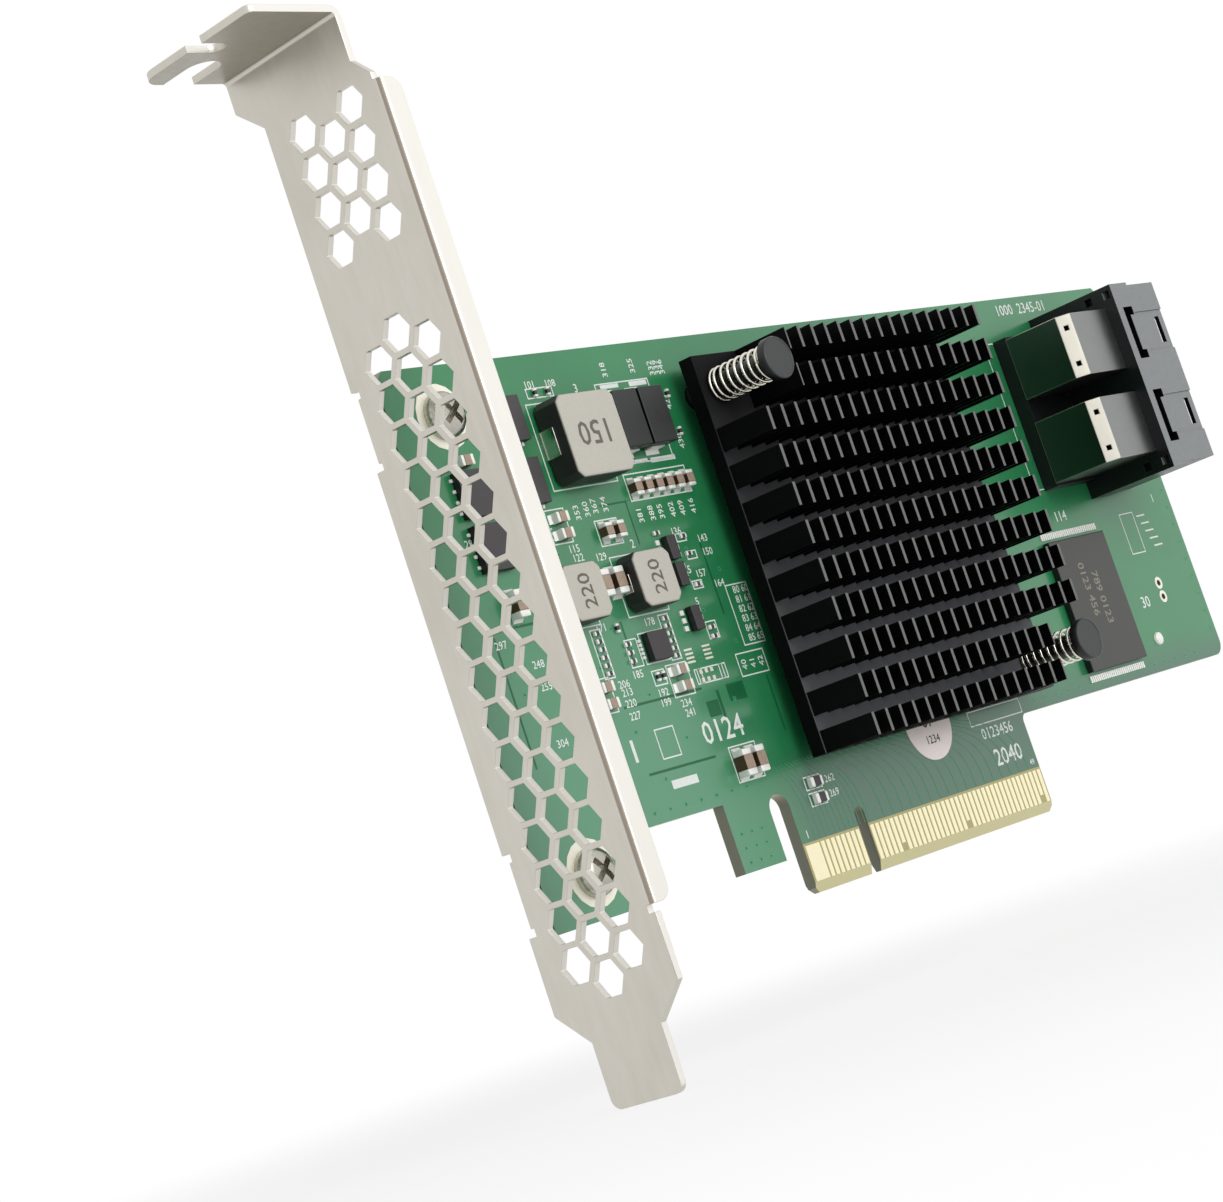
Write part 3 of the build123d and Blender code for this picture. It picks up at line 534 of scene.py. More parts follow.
@cache
def socket_plastic():
    """Glass-filled liquid crystal polymer: black, with a painted grey sheen on its outer face only,
    and fine flow marks along the card."""
    plastic = Finish(
        "Moulded black LCP", "#747879", "#868A8A", 0.4, 0.005, 0.36, 0.06, 0.0, (0.3, 1, 1))
    plastic.set({"Specular IOR Level": 0.4})
    # The grey tone is a painted sheen, kept on the outer face; painted shade darkens all else back
    # to black
    return plastic.paint_side_shade("#0B0D10", 12.0)


@cache
def cage_steel():
    """Bright-rolled stainless sheet: reflects the board, with a faint rolling grain, painted shade
    on its side walls and a painted highlight that makes its bevels and rounded edges paler."""
    steel = Finish("Bright-rolled stainless sheet", "#8E908F", "#999B9A", 2.0, 0.0, 0.34, 0.02, 1.0)
    along, out, up = (steel.math("ABSOLUTE", part) for part in steel.facing)
    widest = steel.math("MAXIMUM", steel.math("MAXIMUM", along, out), up)
    # Painted shade: the side walls are darkened to a dull green grey
    shaded_side_walls = steel.blend(steel.ramp(along, 0.8, 0.97), steel.tone, "#4E5852")
    # Painted highlight: faces that lean between the main directions, the bevels and rounded edges,
    # are made paler
    return steel.set({"Base Color": steel.blend(steel.ramp(widest, 0.98, 0.94), shaded_side_walls, "#A8A59B")})


# Epoxy moulding compound of the chips: matte charcoal, finely pitted, its sides darkened to black
# by painted shade.
epoxy_moulding = finish(
    "Epoxy moulding compound", "#343233", "#474345", 0.25, 0.006, 0.52, sides="#0E0D0E")

# Epoxy moulding of the memory chip: warmer and greyer, ground smoother, its sides darkened to black
# by painted shade.
memory_moulding = finish(
    "Warm grey epoxy moulding", "#3A3A38", "#4A4A48", 0.25, 0.006, 0.45, sides="#101010")

# Pressed iron powder with a sprayed coat: light stone grey, darkened down the sides by painted
# shade.
inductor_core = finish(
    "Pressed iron powder core", "#B4B0A6", "#C6C2B8", 0.3, 0.01, 0.5, sides="#1E1E1C")

# Moulded case of the polymer capacitors: charcoal, slightly glossy, its sides darkened to black by
# painted shade.
capacitor_moulding = finish(
    "Moulded capacitor case", "#1E201F", "#2B2E2D", 0.3, 0.005, 0.4, sides="#0C0D0D")

# Sintered barium titanate: greyish tan and waxy, with darker and lighter layers, its sides darkened
# to brown by painted shade.
ceramic = finish(
    "Sintered barium titanate", "#8B7665", "#B4A18D", 0.4, 0.004, 0.38, sides="#4A3320")

# Coated label paper: pinkish beige with a fine fibre.
label_paper = finish("Coated label paper", "#F2E5E1", "#FBF2EE", 0.5, 0.01, 0.6)

# Dark ink of the stamped values: matte, slightly broken.
marking_ink = finish("Dark marking ink", "#2C2A28", "#45423F", 0.2, 0.002, 0.7)

# Ink of the values on the inductors: sprayed thin on grainy powder, so half faded.
faded_ink = finish("Faded marking ink", "#5A544C", "#746D63", 0.25, 0.002, 0.7)

# Laser marking in the memory's moulding: a faint tan grey.
laser_mark = finish("Laser-marked epoxy", "#827D70", "#918B7D", 0.2, 0.002, 0.6)

# White epoxy ink of the printing: slightly grey, matte.
board_ink = finish("White epoxy ink", "#D5DCD6", "#EEF2EE", 0.4, 0.002, 0.6)


@cache
def floor_paint():
    """White seamless paper: bright, with the card's soft shadow left in it."""
    paper = Finish("White seamless paper", "#F4F4F4", "#F8F8F8", 20.0, 0.01, 0.9)
    white = paper.add("ShaderNodeEmission", {"Color": (1, 1, 1, 1), "Strength": 1.0})
    # The paper runs out into white about a quarter of a metre from the card
    apart = paper.add("ShaderNodeVectorMath", {0: paper.place}, operation="LENGTH").outputs["Value"]
    fade = paper.ramp(apart, 60 * MM, 260 * MM, 0.76, 1.0, interpolation_type="SMOOTHSTEP")
    share = paper.both(seen_directly(paper.tree), fade)
    mixed = paper.add(
        "ShaderNodeMixShader", {0: share, 1: paper.shader.outputs[0], 2: white.outputs[0]})
    paper.tree.links.new(mixed.outputs[0], paper.tree.nodes["Material Output"].inputs["Surface"])
    return paper.material


# Settings

class ControllerCardSettings(PropertyGroup):
    edge_cream: FloatVectorProperty(
        name="Edge cream", description="Cut edge of the glass-epoxy board",
        size=4, subtype="COLOR", min=0, max=1, default=linear("#C9C28E"))
    sheet_edge: FloatProperty(
        name="Sheet edge", description="Rounding of the stamped bracket's edges in mm",
        default=0.12, min=0.02, max=0.3)
    fin_edge: FloatProperty(
        name="Fin edge", description="Rounding of the heatsink's fin edges in mm",
        default=0.06, min=0.01, max=0.15)
    key_light: FloatProperty(
        name="Key light", description="Power of the large soft lamp at the front, above",
        default=3.5, min=0, unit="POWER")
    fill_light: FloatProperty(
        name="Fill light", description="Power of the soft lamp at the front right",
        default=1.6, min=0, unit="POWER")
    surround: FloatProperty(
        name="Surround", description="Strength of the white surroundings on the card",
        default=0.5, min=0, max=1)
    contact_count: IntProperty(
        name="Socket contacts", description="Contacts on each side of a paddle slot",
        default=9, min=1, max=12)


# Stage

class CARD_OT_stage(Operator):
    """Lay the white floor, hang the soft lamps and set the camera"""
    bl_idname = "controller_card.stage"
    bl_label = "Stage and Camera"

    def execute(self, context):
        self.floor()
        self.surroundings(context)
        self.lamp("Key lamp", (-0.15, -0.85, 0.35), 0.6, settings().key_light)
        fill = self.lamp("Fill lamp", (0.62, -0.62, 0.16), 0.6, settings().fill_light)
        # Seen mirrored in the board it would turn the green pale
        fill.visible_glossy = False
        self.camera(context)
        return {"FINISHED"}

    def floor(self):
        floor = added(bpy.ops.mesh.primitive_plane_add, size=6, location=(0, 0, CARD_BOX[0][2]))
        floor.name = "studio_floor"
        floor.data.materials.append(floor_paint())

    def surroundings(self, context):
        world = bpy.data.worlds.new("White studio")
        context.scene.world = world
        world.use_nodes = True
        tree = world.node_tree
        background = tree.nodes["Background"]
        level = add_node(tree, "ShaderNodeMapRange", {
            "Value": seen_directly(tree), "To Min": settings().surround, "To Max": 1.0})
        feed(tree, background, {"Color": (1, 1, 1, 1), "Strength": level.outputs[0]})

    def lamp(self, name, place, size, power):
        bpy.ops.object.light_add(type="AREA", location=place)
        lamp = bpy.context.object
        lamp.name = name
        lamp.data.size = size
        lamp.data.energy = power
        middle = (CARD_BOX[0] + CARD_BOX[1]) / 2
        lamp.rotation_euler = (middle - Vector(place)).to_track_quat("-Z", "Y").to_euler()
        return lamp

    def camera(self, context):
        bpy.ops.object.camera_add()
        camera = bpy.context.object
        camera.name = "Card camera"
        right = (0.64679, -0.69435, -0.31550)
        up = (0.11692, -0.31852, 0.94068)
        back = (-0.75365, -0.64531, -0.12483)
        turn = Matrix((right, up, back)).transposed().to_4x4()
        camera.matrix_world = Matrix.Translation(Vector((-294.71, -229.20, 4.67)) * MM) @ turn
        camera.data.sensor_fit = "HORIZONTAL"
        camera.data.sensor_width = 36
        camera.data.lens = 90.8
        camera.data.shift_x = 0.006
        camera.data.shift_y = -0.072
        camera.data.clip_start = 0.01
        context.scene.camera = camera
        context.scene.view_settings.view_transform = "Standard"


# Pieces

class CARD_OT_board(Operator):
    """Finish the board, its contact fingers and bare pads"""
    bl_idname = "controller_card.board"
    bl_label = "Board and Contacts"

    def execute(self, context):
        dress("circuit_board", solder_mask())
        dress("edge_contacts", hard_gold())
        dress("plated_pads", pad_plating())
        return {"FINISHED"}


class CARD_OT_bracket(Operator):
    """Round the stamped edges of the bracket and plate it"""
    bl_idname = "controller_card.bracket"
    bl_label = "Bracket"

    def execute(self, context):
        edge = settings().sheet_edge
        refine("bracket", "plated_bracket", "bracket_steel", bracket_nickel(), edge, 2, 40)
        return {"FINISHED"}


class CARD_OT_screws(Operator):
    """Make the two pan-head screws with their cross recess"""
    bl_idname = "controller_card.screws"
    bl_label = "Bracket Screws"

    def execute(self, context):
        thread = [(1.15 + 0.2 * (turn % 2), -3.67 + 0.15 * turn) for turn in range(9)]
        head = [
            (2.8, 0.05), (2.8, 0.6), (2.68, 1.0), (2.4, 1.4), (1.9, 1.72), (1.2, 1.9), (0.02, 1.95)]
        screws = []
        for along, up in SCREWS:
            screw = turned(along, up, [*thread, (1.35, -2.3), (1.35, 0.05), *head], 32)
            recess = joined([
                block(along, 1.5, up, 0.75, 1.4, 3.3), block(along, 1.5, up, 3.3, 1.4, 0.75)])
            pick(recess)
            with editing():
                bpy.ops.transform.rotate(
                    value=radians(40), orient_axis="Y", center_override=at(along, 1.5, up))
            cut(screw, recess, use_self=True)
            screws.append(screw)
        settle(
            joined(screws), "pan_head_screws", "screw_steel", screw_nickel(),
            replaces="bracket_screws")
        return {"FINISHED"}


class CARD_OT_heatsink(Operator):
    """Round the pin-fin heatsink's edges and finish the controller package under it"""
    bl_idname = "controller_card.heatsink"
    bl_label = "Heatsink and Controller"

    def execute(self, context):
        edge = settings().fin_edge
        refine("heatsink", "pin_fin_heatsink", "black_anodised", black_anodised(), edge, 1, 40)
        dress("controller_substrate", package_laminate())
        dress("controller_lid", lid_nickel())
        dress("thermal_pad", heat_pad())
        return {"FINISHED"}


class CARD_OT_push_pins(Operator):
    """Turn the push pins, split their barbs and wind their compression springs"""
    bl_idname = "controller_card.push_pins"
    bl_label = "Push Pins and Springs"

    def execute(self, context):
        pins, springs = [], []
        barb_and_shaft = [
            (1.0, -5.1), (1.05, -5.0), (2.1, -1.95), (2.0, -1.72), (1.4, -1.72), (1.4, PIN_HEAD)]
        head = [
            (2.5, PIN_HEAD), (2.7, 13.05), (2.7, 14.0), (2.62, 14.15), (2.5, 14.2), (2.4, 14.12),
            (0.02, 14.12)]
        for along, up in PUSH_PINS:
            pin = turned(along, up, barb_and_shaft + head, 40)
            cut(pin, block(along, -2.4, up, 0.7, 5.4, 4.4))
            pins.append(pin)
            springs += [
                self.coil(along, up, HEATSINK_BASE + 0.5 * SPRING_WIRE, 1.0, SPRING_WIRE, 0),
                self.coil(along, up, HEATSINK_BASE + 1.5 * SPRING_WIRE, 6.5, 7.34, 0),
                self.coil(along, up, PIN_HEAD - 1.5 * SPRING_WIRE, 1.0, SPRING_WIRE, 180),
            ]
        piece = joined(pins)
        bpy.ops.object.shade_smooth_by_angle(angle=radians(50))
        apply_modifier(piece, "WEIGHTED_NORMAL", weight=80, keep_sharp=True)
        settle(piece, "turned_push_pins", "black_plastic", pin_nylon(), replaces="push_pins")
        wire = joined(springs)
        bpy.ops.object.shade_smooth()
        settle(wire, "wound_springs", "spring_steel", spring_steel(), replaces="push_pin_springs")
        return {"FINISHED"}

    def coil(self, along, up, start, turns, rise, first):
        """Wind wire round a pin: a circle carried round and outwards by a Screw modifier."""
        ring = added(
            bpy.ops.mesh.primitive_circle_add, vertices=10, radius=0.2 * MM,
            location=(2.08 * MM, 0, 0), rotation=(pi / 2, 0, 0))
        steps = round(28 * turns)
        apply_modifier(
            ring, "SCREW", axis="Z", angle=2 * pi * turns, screw_offset=rise * MM,
            steps=steps, render_steps=steps, use_merge_vertices=False)
        with editing():
            bpy.ops.mesh.edge_face_add()
            bpy.ops.mesh.select_all(action="SELECT")
            bpy.ops.mesh.normals_make_consistent(inside=False)
        stand_out = Matrix.Rotation(pi / 2, 4, "X") @ Matrix.Rotation(radians(first), 4, "Z")
        ring.matrix_world = Matrix.Translation(at(along, start, up)) @ stand_out
        bake_place()
        return ring


class CARD_OT_sockets(Operator):
    """Finish the twin cable socket with its cages and contacts"""
    bl_idname = "controller_card.sockets"
    bl_label = "Cable Sockets"

    def execute(self, context):
        housing = softened_copy("connector_housing", 0.15, 2, 40)
        for port in PORTS:
            cut(housing, block(82.6, 12.85, port, 3.4, 0.9, 3.8))
        settle(
            housing, "moulded_housing", "connector_plastic", socket_plastic(),
            replaces="connector_housing")
        refine("upper_cage", "folded_upper_cage", "cage_metal", cage_steel(), 0.1)
        refine("lower_cage", "folded_lower_cage", "cage_metal", cage_steel(), 0.1)
        dress("contact_wafers", socket_plastic())
        dress("contact_blocks", socket_plastic())
        dress("connector_tails", tin())
        contact = soften(block(0, 0, 0, 4.6, 0.15, 0.34), 0.04, 1)
        count = settings().contact_count
        rows = [(number - (count - 1) / 2) * 0.75 for number in range(count)]
        places = [
            (77.0, slot + wall, port + row, 0)
            for port in PORTS for slot in (5.4, 9.4) for wall in (-0.57, 0.57) for row in rows]
        settle(repeated(contact, places), "socket_contacts", "gold", hard_gold())
        return {"FINISHED"}


class CARD_OT_chips(Operator):
    """Finish the memory chip, the converter and the regulators, and bend their leads"""
    bl_idname = "controller_card.chips"
    bl_label = "Chips"

    def execute(self, context):
        refine("memory_chip", "memory_body", "chip_plastic", memory_moulding(), 0.08)
        refine("converter_chip", "converter_body", "chip_plastic", epoxy_moulding(), 0.08)
        refine("regulator_chips", "regulator_bodies", "chip_plastic", epoxy_moulding(), 0.08)
        refine("power_transistors", "transistor_bodies", "chip_plastic", epoxy_moulding(), 0.08)
        along, up = MEMORY
        places = [
            (along + (number - 13.5) * LEAD_PITCH, 0, up + side * 9.15, side * 90)
            for number in range(28) for side in (1, -1)]
        leads = repeated(self.lead(1.4, 0.9, 0.34, 0.16, 0.55), places)
        settle(leads, "bent_memory_leads", "tin", tin(), replaces="memory_leads")
        steps = [(number - 2) * LEAD_PITCH for number in range(5)]
        places = self.beside(30.1, -36.3, 1.7, steps)
        small = repeated(self.lead(0.88, 0.5, 0.32, 0.17, 0.5), places)
        places = [
            place for chip in ((38.0, -25.5), (38.0, -28.8), (38.1, -34.2))
            for place in self.beside(*chip, 0.8, (-0.95, 0, 0.95))]
        large = repeated(self.lead(1.1, 0.68, 0.6, 0.2, 0.6), places)
        settle(joined([small, large]), "bent_chip_leads", "tin", tin(), replaces="chip_leads")
        refine("transistor_leads", "transistor_tabs", "tin", tin(), 0.06, 1)
        return {"FINISHED"}

    def beside(self, right, down, apart, steps):
        """Places of leads at the right and left of a chip, one pair for each step up."""
        along, up = spot(right, down)
        return [
            (along + side * apart, 0, up + step, 90 - 90 * side)
            for step in steps for side in (1, -1)]

    def lead(self, reach, foot, width, thickness, rise):
        """Bend a gull-wing lead that reaches right from its chip's side down to the board."""
        piece = block(reach - foot / 2, thickness / 2, 0, foot, thickness, width)
        with editing():
            with choosing() as shape:
                for face in shape.faces:
                    face.select_set(face.normal.x < -0.9)
            for share, out in ((0.35, rise - thickness), (0.65, 0)):
                along = share * (foot - reach)
                bpy.ops.mesh.extrude_region_move(
                    TRANSFORM_OT_translate={"value": (along * MM, -out * MM, 0)})
        return piece


class CARD_OT_power_parts(Operator):
    """Round the inductors, capacitors and their terminals, and lay solder at their feet"""
    bl_idname = "controller_card.power_parts"
    bl_label = "Inductors and Capacitors"

    def execute(self, context):
        refine("large_inductor", "large_core", "inductor_core", inductor_core(), 0.5)
        refine("small_inductors", "small_cores", "inductor_core", inductor_core(), 0.3)
        refine("inductor_clips", "folded_clips", "tin", bright_strip(), 0.06)
        case = capacitor_moulding()
        refine("polymer_capacitors", "polymer_cases", "capacitor_case", case, 0.12)
        refine("polymer_terminals", "polymer_tabs", "tin", tin(), 0.05)
        refine("ceramic_capacitors", "ceramic_bodies", "capacitor_ceramic", ceramic(), 0.06)
        refine("capacitor_terminals", "ceramic_ends", "tin", tin(), 0.12)
        self.solder()
        return {"FINISHED"}

    def solder(self):
        """Lay a sloping fillet of solder at both ends of every ceramic capacitor."""
        large = [(9.5, -28.4), (24.1, -28.1), (26.6, -28.1), (37.9, -52.0), (40.3, -52.0)]
        upright = [(40.2 + (number - 2.5) * 1.92, -17.7) for number in range(6)]
        upright += [(29.05 - 1.05, -22.2), (29.05 + 1.05, -22.2)]
        lying = [(8.9, -11.5)]
        for right, down in ((21.0, -20.6), (19.2, -40.6), (32.4, -40.6)):
            lying += [(right, down - 0.975), (right, down + 0.975)]
        groups = []
        for spots, reach, width, height, turns in (
            (large, 1.6, 1.5, 0.42, (90, -90)), (upright, 1.0, 1.1, 0.3, (90, -90)),
            (lying, 1.0, 1.1, 0.3, (0, 180)),
        ):
            places = [(*place, turn) for place in spots for turn in turns]
            groups.append(repeated(self.wedge(reach, width, height), stood(places)))
        dome = [(0.95, 0.02), (0.85, 0.28), (0.5, 0.5), (0.02, 0.56)]
        groups.append(turned(76.9, 17.5, dome, 20))
        settle(joined(groups), "solder_fillets", "tin", tin())

    def wedge(self, reach, width, height):
        """Shape one fillet: a block whose outer top edge is brought down to the pad."""
        piece = block(reach + 0.16, height / 2, 0, 0.4, height, width)
        with editing():
            with choosing() as shape:
                for vertex in shape.verts:
                    vertex.select_set(
                        vertex.co.x > (reach + 0.2) * MM and vertex.co.y < -height / 2 * MM)
            bpy.ops.transform.translate(value=(0, (height - 0.05) * MM, 0))
        return piece


class CARD_OT_tiny_chips(Operator):
    """Model the millimetre-long chip resistors and capacitors once and set them in their rows"""
    bl_idname = "controller_card.tiny_chips"
    bl_label = "Tiny Chips"

    def execute(self, context):
        upright = [(47.1, -6.9), (47.1, -11.7), (28.9, -39.8), (29.9, -39.8), (24.8, -33.3)]
        upright += [(24.2, -4.7), (26.4, -4.7)]
        lying = [
            (41.2, -26.5), (41.2, -24.3), (41.0, -30.3), (40.9, -35.6), (40.9, -36.7),
            (36.7, -23.4)]
        lying += [(21.2, -33.4 - 0.95 * row) for row in range(6)]
        lying += [(25.6, -35.4 - 1.0 * row) for row in range(3)]
        lying += [(33.3, -33.4 - 0.9 * row) for row in range(6)]
        places = [(*place, 90) for place in upright] + [(*place, 0) for place in lying]
        bodies, ends = self.chips(
            places, 0.2, (0.55, 0.36, 0.48), 0.03, 0.37, (0.34, 0.4, 0.54), 0.06)
        places = [(49.7, -56.4, 0), (49.7, -58.4, 0)]
        larger, their_ends = self.chips(
            places, 0.42, (1.3, 0.78, 1.15), 0.05, 0.82, (0.58, 0.84, 1.25), 0.12)
        settle(joined([bodies, larger]), "tiny_chip_bodies", "chip_plastic", epoxy_moulding())
        settle(joined([ends, their_ends]), "tiny_chip_ends", "tin", tin())
        return {"FINISHED"}

    def chips(self, places, middle, body_size, body_edge, apart, end_size, end_edge):
        """Model one chip, its body and both ends, at a middle height and copy it to its places."""
        body = soften(block(0, 0.01, 0, *body_size), body_edge, 1)
        ends = joined([block(side * apart, 0, 0, *end_size) for side in (-1, 1)])
        soften(ends, end_edge, 1)
        return repeated(body, stood(places, middle)), repeated(ends, stood(places, middle))


class CARD_OT_tracks(Operator):
    """Raise the copper tracks under the mask, darken the etched gaps and dot the board with vias"""
    bl_idname = "controller_card.tracks"
    bl_label = "Tracks and Vias"

    def execute(self, context):
        tracks = [
            self.track(along, out)
            for along in (*range(-10, 2), *range(4, 37, 2)) for out in (0, BOARD_BACK)]
        settle(joined(tracks), "copper_tracks", "solder_mask", mask_over_tracks())
        gaps = [
            (-27.5, 26.6, 14, 0.3), (-30.4, 33.5, 0.3, 5.6), (-18.0, 24.2, 0.5, 3.6),
            (-24.5, 49.9, 6, 0.25), (-22.8, 47.2, 0.25, 5.2), (-28.0, 18.6, 12, 0.3),
            (-12.2, 39.0, 0.3, 9), (-8.3, 22.8, 0.3, 7), (-44.5, 38.2, 14, 0.3),
            (-51.2, 30, 0.3, 15), (-40.5, 17.0, 0.3, 9), (-19.5, 24.0, 2.2, 1.9),
            (-14.6, 25.3, 3.2, 2.1),
        ]
        etched = joined(bars(gaps, ETCHED))
        settle(etched, "etched_gaps", "solder_mask", mask_over_laminate())
        self.vias()
        return {"FINISHED"}

    def track(self, along, out):
        """Bend one track from above a contact finger up and left, on the board's front or back."""
        deselect()
        bpy.ops.curve.primitive_bezier_curve_add(radius=MM)
        line = bpy.context.object
        points = line.data.splines[0].bezier_points
        lean = 3.2 + 0.28 * (along + 10)
        for point, place, handle in zip(
            points,
            (at(along + 0.5, out, 6.1), at(along + 0.5 - lean, out, 15.6)),
            (at(along + 0.5, out, 10.8), at(along - 0.1 * lean, out, 13.2)),
        ):
            point.handle_left_type = point.handle_right_type = "FREE"
            point.co = place
            point.handle_left = point.handle_right = handle
        points[0].handle_left = points[0].co
        points[1].handle_right = points[1].co
        line.data.dimensions = "3D"
        line.data.resolution_u = 10
        line.data.bevel_depth = 0.055 * MM
        line.data.bevel_resolution = 0
        bpy.ops.object.convert(target="MESH")
        return bpy.context.object

    def vias(self):
        """Dot plated holes along the board's edges and round the power section, front and back."""
        ring = added(
            bpy.ops.mesh.primitive_circle_add, vertices=8, radius=0.3 * MM, fill_type="NGON",
            rotation=(pi / 2, 0, 0))
        with editing():
            bpy.ops.mesh.inset(thickness=0.14 * MM)
        ring.data.materials.append(mask_over_tracks())
        ring.data.materials.append(mask_over_laminate())
        corners = ring.data.vertices
        inner = min(
            ring.data.polygons, key=lambda face: max(corners[v].co.length for v in face.vertices))
        inner.material_index = 1
        places = [(91.2, 17.0 + 2.6 * number) for number in range(16)]
        places += [(43.0 + 2.8 * number, 14.2) for number in range(16)]
        places += [(-38.0 + 2.8 * number, 14.3) for number in range(8)]
        places += [(-22.0 + 1.9 * (number % 3), 5.8 + 1.7 * (number // 3)) for number in range(9)]
        # A spiral of them over the power section
        for number in range(46):
            angle = 2.4 * number
            reach = 2.1 * number ** 0.5
            along, up = -30 + 1.5 * reach * cos(angle), 33 + 1.9 * reach * sin(angle)
            if -52 < along < -9 and up > 15:
                places.append((along, up))
        behind = ring.copy()
        behind.data = ring.data.copy()
        behind.data.transform(Matrix.Rotation(pi, 4, "Z"))
        front = [(along, 0.01, up, 0) for along, up in places]
        upper_edge = [(-52.5 + 2.6 * number, 67.7) for number in range(45)]
        back = [(along, BOARD_BACK - 0.01, up, 0) for along, up in places + upper_edge]
        vias = joined([repeated(ring, front), repeated(behind, back)])
        settle(vias, "plated_vias", "solder_mask")


class CARD_OT_label(Operator):
    """Finish the round paper label and stamp plain numbers on it"""
    bl_idname = "controller_card.label"
    bl_label = "Round Label"

    def execute(self, context):
        dress("round_label", label_paper())
        stamps = [printed("07", 18.9, 0.11, 15.6, 1.8), printed("1234", 18.9, 0.11, 13.2, 1.1)]
        settle(joined(stamps), "label_numbers", "label_paper", marking_ink())
        values = [printed("150", -28.5, 4.01, 57.9, 3.0, 180)]
        for right, down in ((18.9, -28.8), (31.2, -28.8)):
            along, up = spot(right, down)
            values.append(printed("220", along, 3.01, up, 2.1, 90))
        settle(joined(values), "inductor_values", "inductor_core", faded_ink())
        marks = [
            printed("0123 456", 62.6, 1.11, 26.5, 1.5, -90),
            printed("789 0123", 65.2, 1.11, 25.0, 1.5, -90)]
        settle(joined(marks), "memory_marks", "chip_plastic", laser_mark())
        return {"FINISHED"}


def printed(words, along, out, up, size, turn=0):
    """Print plain numbers flat on the component side, centred, size in mm, turned in degrees."""
    deselect()
    bpy.ops.object.text_add(location=at(along, out, up), rotation=(pi / 2, -radians(turn), 0))
    text = bpy.context.object
    text.data.body = words
    text.data.size = size * 1.35 * MM
    text.data.resolution_u = 2
    text.data.align_x = "CENTER"
    text.data.align_y = "CENTER"
    text.data.offset = 0.012 * size * MM
    bpy.ops.object.convert(target="MESH")
    bake_place()
    return bpy.context.object


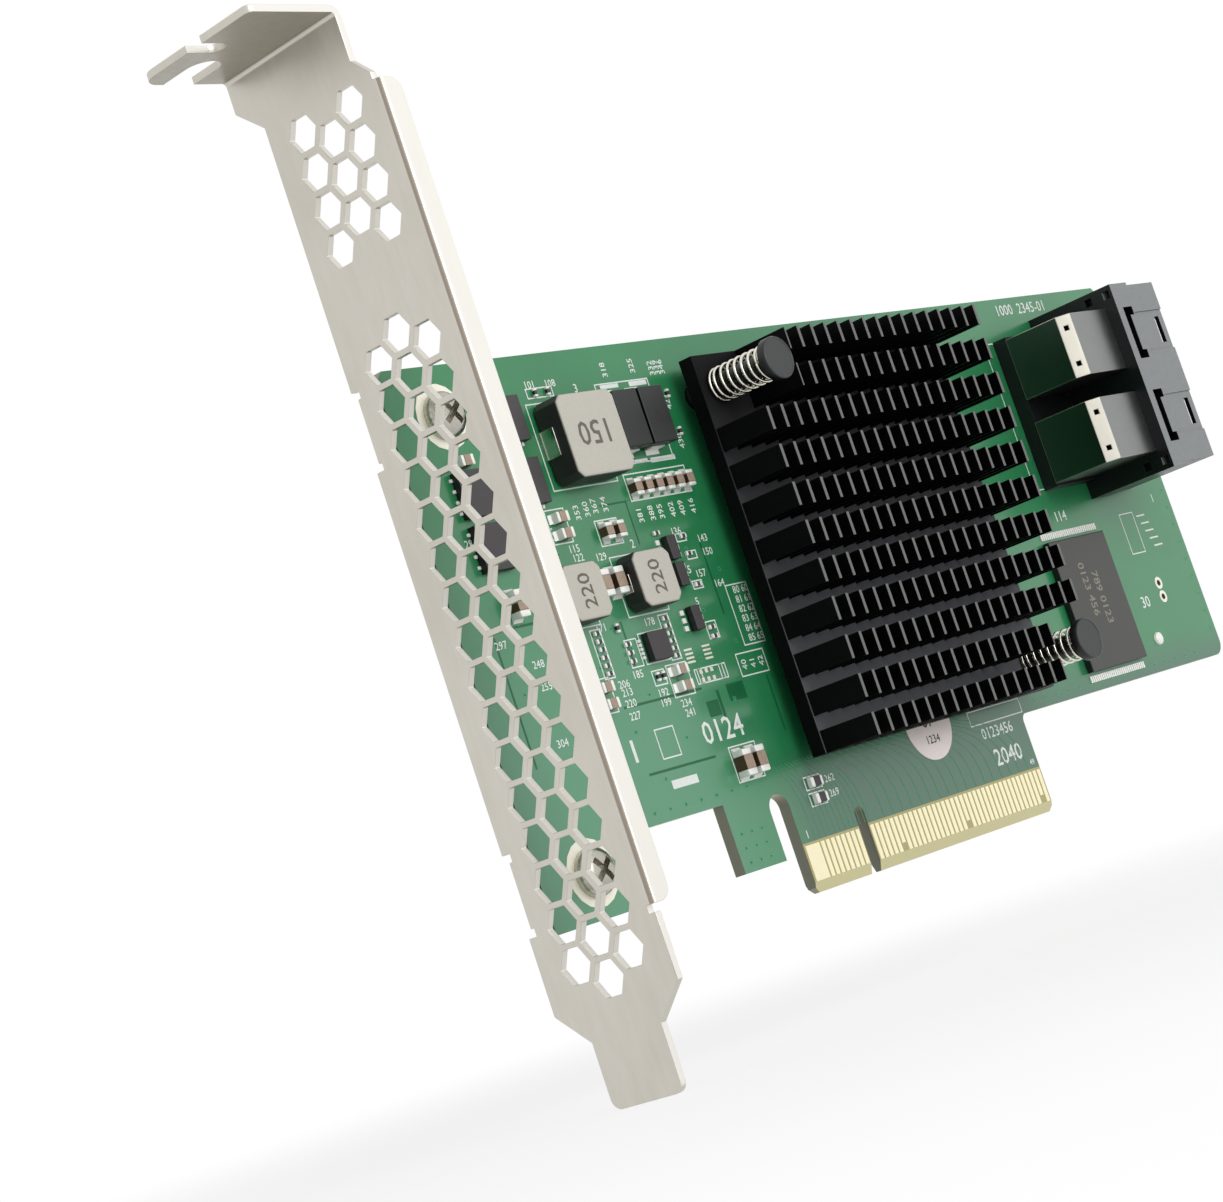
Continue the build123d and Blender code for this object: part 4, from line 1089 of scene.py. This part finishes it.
class CARD_OT_printing(Operator):
    """Print plain numbers, outlines and bars round the parts in white"""
    bl_idname = "controller_card.printing"
    bl_label = "White Printing"

    def execute(self, context):
        flat = [
            (-32.4, 65.2), (-28.9, 65.1), (-34.0, 45.5), (-33.8, 44.4), (-30.0, 44.0),
            (-15.8, 45.3), (-11.5, 43.9), (-11.4, 42.2), (-13.9, 39.8), (-11.2, 38.2),
            (-33.9, 36.0), (-25.6, 35.5), (-30.4, 29.9), (-27.2, 27.2), (-27.3, 26.0),
            (-33.2, 29.2), (-33.1, 28.2), (-33.1, 26.9), (-33.1, 25.4), (-23.9, 25.4),
            (-23.7, 24.2), (-45.7, 33.6), (-45.6, 31.0), (-3.3, 12.4), (-3.3, 10.6), (-41.5, 46.0),
            (-45.8, 41.5), (-50.0, 48.2), (-50.5, 36.5), (-46.0, 24.5), (-39.0, 21.5),
        ]
        upright = [
            (-18.9, 65.9), (-13.8, 66.0), (-10.4, 65.4), (-9.4, 65.4), (-8.5, 65.4), (-31.5, 49.6),
            (-29.8, 49.8), (-28.3, 50.0), (-26.5, 50.0), (-21.0, 48.0), (-18.9, 48.0),
            (-17.2, 48.0), (-15.1, 48.0), (-13.3, 48.0), (-11.3, 48.0), (-9.4, 61.0), (-9.4, 56.0),
            (-38.5, 54.0), (-36.9, 47.5),
        ]
        places = [(*place, 0) for place in flat] + [(*place, 90) for place in upright]
        marks = [
            printed(str(101 + 7 * step), along, INK, up, NUMBER_SIZE, turn)
            for step, (along, up, turn) in enumerate(places)]
        for along, up, words, size in (
            (-24.8, 64.1, "3", 1.1), (-24.0, 44.8, "2", 1.1), (-15.7, 40.5, "5", 1.0),
            (-16.2, 36.6, "5", 1.0), (71.9, 67.1, "1000  2345-01", 1.6), (63.7, 37.2, "114", 1.5),
            (77.0, 22.8, "30", 1.7), (88.0, 36.9, "1", 1.2), (33.4, 8.5, "2040", 2.3),
            (32.8, 11.9, "0123456", 1.5), (-19.2, 21.3, "0124", 2.8), (-10.7, 6.8, "1", 1.0),
            (37.9, 6.7, "49", 0.8),
        ):
            marks.append(printed(words, along, INK, up, size))
        marks += [
            printed(str(first + row), along, INK, 37.0 - 1.2 * row, NUMBER_SIZE)
            for row in range(6) for first, along in ((80, -8.6), (60, -7.0))]
        marks += [
            printed(str(40 + row), -11.6 + 1.6 * row, INK, 28.1, NUMBER_SIZE, 90)
            for row in range(3)]
        marks += self.frames()
        settle(joined(marks), "white_printing", "solder_mask", board_ink())
        return {"FINISHED"}

    def frames(self):
        """Outline parts and groups of parts, and lay bars beside them."""
        boxes = [
            (-28.5, 57.7, 11.4, 10.6), (-16.6, 59.2, 9.8, 10.2), (-16.1, 51.4, 11.4, 3.4),
            (-37.4, 40.1, 7.4, 7.4), (-25.1, 40.1, 7.4, 7.4), (-27.3, 46.7, 4.0, 3.2),
            (-17.0, 17.0, 5.0, 4.4), (-8.4, 34.0, 4.1, 7.6), (-10.1, 28.1, 5.3, 2.9),
            (-18.0, 28.0, 4.8, 1.9), (-20.2, 28.0, 1.3, 1.9), (-15.7, 28.0, 1.3, 1.9),
            (-26.2, 32.6, 4.4, 3.8), (-35.3, 48.4, 3.4, 4.2), (-37.1, 28.4, 3.4, 4.2),
            (-23.6, 28.2, 3.8, 4.0), (-31.1, 64.2, 4.6, 1.3), (-29.9, 32.4, 2.2, 3.4),
            (-35.1, 33.1, 1.9, 5.9), (-23.0, 33.3, 1.9, 5.6), (-27.0, 29.0, 2.3, 1.9),
            (-14.4, 42.2, 1.9, 1.1), (-15.1, 38.6, 1.9, 1.1), (-15.3, 44.5, 1.9, 1.1),
            (-15.2, 33.0, 2.0, 2.2), (-6.6, 12.5, 3.2, 1.7), (-6.6, 10.5, 3.2, 1.7),
            (79.8, 32.7, 3.6, 6.0), (33.6, 14.2, 12.0, 2.0), (-29.2, 21.6, 3.4, 3.6),
            (68.95, 52.0, 18.2, 21.4),
        ]
        lines = [self.frame(*box) for box in boxes]
        dashes = [
            (-28.5, 16.8, 4.6, 1.0), (-17.7, 54.35, 2.4, 0.5), (-13.7, 54.25, 4.5, 0.6),
            (-18.9, 63.85, 3.3, 0.5), (-13.7, 63.8, 3.2, 0.6), (-35.2, 21.6, 0.5, 2.6),
            (-31.6, 42.9, 0.6, 0.6), (-19.6, 43.6, 0.6, 0.6),
        ]
        for ray in range(5):
            dashes.append((83.4 + 0.5 * ray, 34.9 - 1.15 * ray, 2.2, 0.22))
        return lines + bars(dashes, INK)

    def frame(self, along, up, length, height):
        """Outline one box: a plane inset by the line's width, its middle taken out."""
        deselect()
        bpy.ops.mesh.primitive_plane_add(
            size=MM, location=at(along, INK, up), rotation=(pi / 2, 0, 0))
        plane = bpy.context.object
        plane.scale = (length, height, 1)
        bake_place()
        with editing():
            bpy.ops.mesh.inset(thickness=LINE_WIDTH * MM)
            bpy.ops.mesh.delete(type="FACE")
        return plane


# Panel

OPERATORS = (
    CARD_OT_stage, CARD_OT_board, CARD_OT_tracks, CARD_OT_bracket, CARD_OT_screws, CARD_OT_heatsink,
    CARD_OT_push_pins, CARD_OT_sockets, CARD_OT_chips, CARD_OT_power_parts, CARD_OT_tiny_chips,
    CARD_OT_label, CARD_OT_printing,
)


class CARD_PT_panel(Panel):
    """Lists the steps that dress the controller card"""
    bl_label = "Controller Card"
    bl_idname = "CARD_PT_panel"
    bl_space_type = "VIEW_3D"
    bl_region_type = "UI"
    bl_category = "Controller Card"

    def draw(self, context):
        column = self.layout.column()
        for name in ControllerCardSettings.__annotations__:
            column.prop(context.scene.controller_card, name)
        for step in OPERATORS:
            column.operator(step.bl_idname)


CLASSES = (ControllerCardSettings, *OPERATORS, CARD_PT_panel)


def register():
    for cls in CLASSES:
        bpy.utils.register_class(cls)
    bpy.types.Scene.controller_card = PointerProperty(type=ControllerCardSettings)


def unregister():
    del bpy.types.Scene.controller_card
    for cls in reversed(CLASSES):
        bpy.utils.unregister_class(cls)


def main():
    register()
    bpy.ops.controller_card.stage()
    bpy.ops.controller_card.board()
    bpy.ops.controller_card.tracks()
    bpy.ops.controller_card.bracket()
    bpy.ops.controller_card.screws()
    bpy.ops.controller_card.heatsink()
    bpy.ops.controller_card.push_pins()
    bpy.ops.controller_card.sockets()
    bpy.ops.controller_card.chips()
    bpy.ops.controller_card.power_parts()
    bpy.ops.controller_card.tiny_chips()
    bpy.ops.controller_card.label()
    bpy.ops.controller_card.printing()


if __name__ == "__main__":
    main()
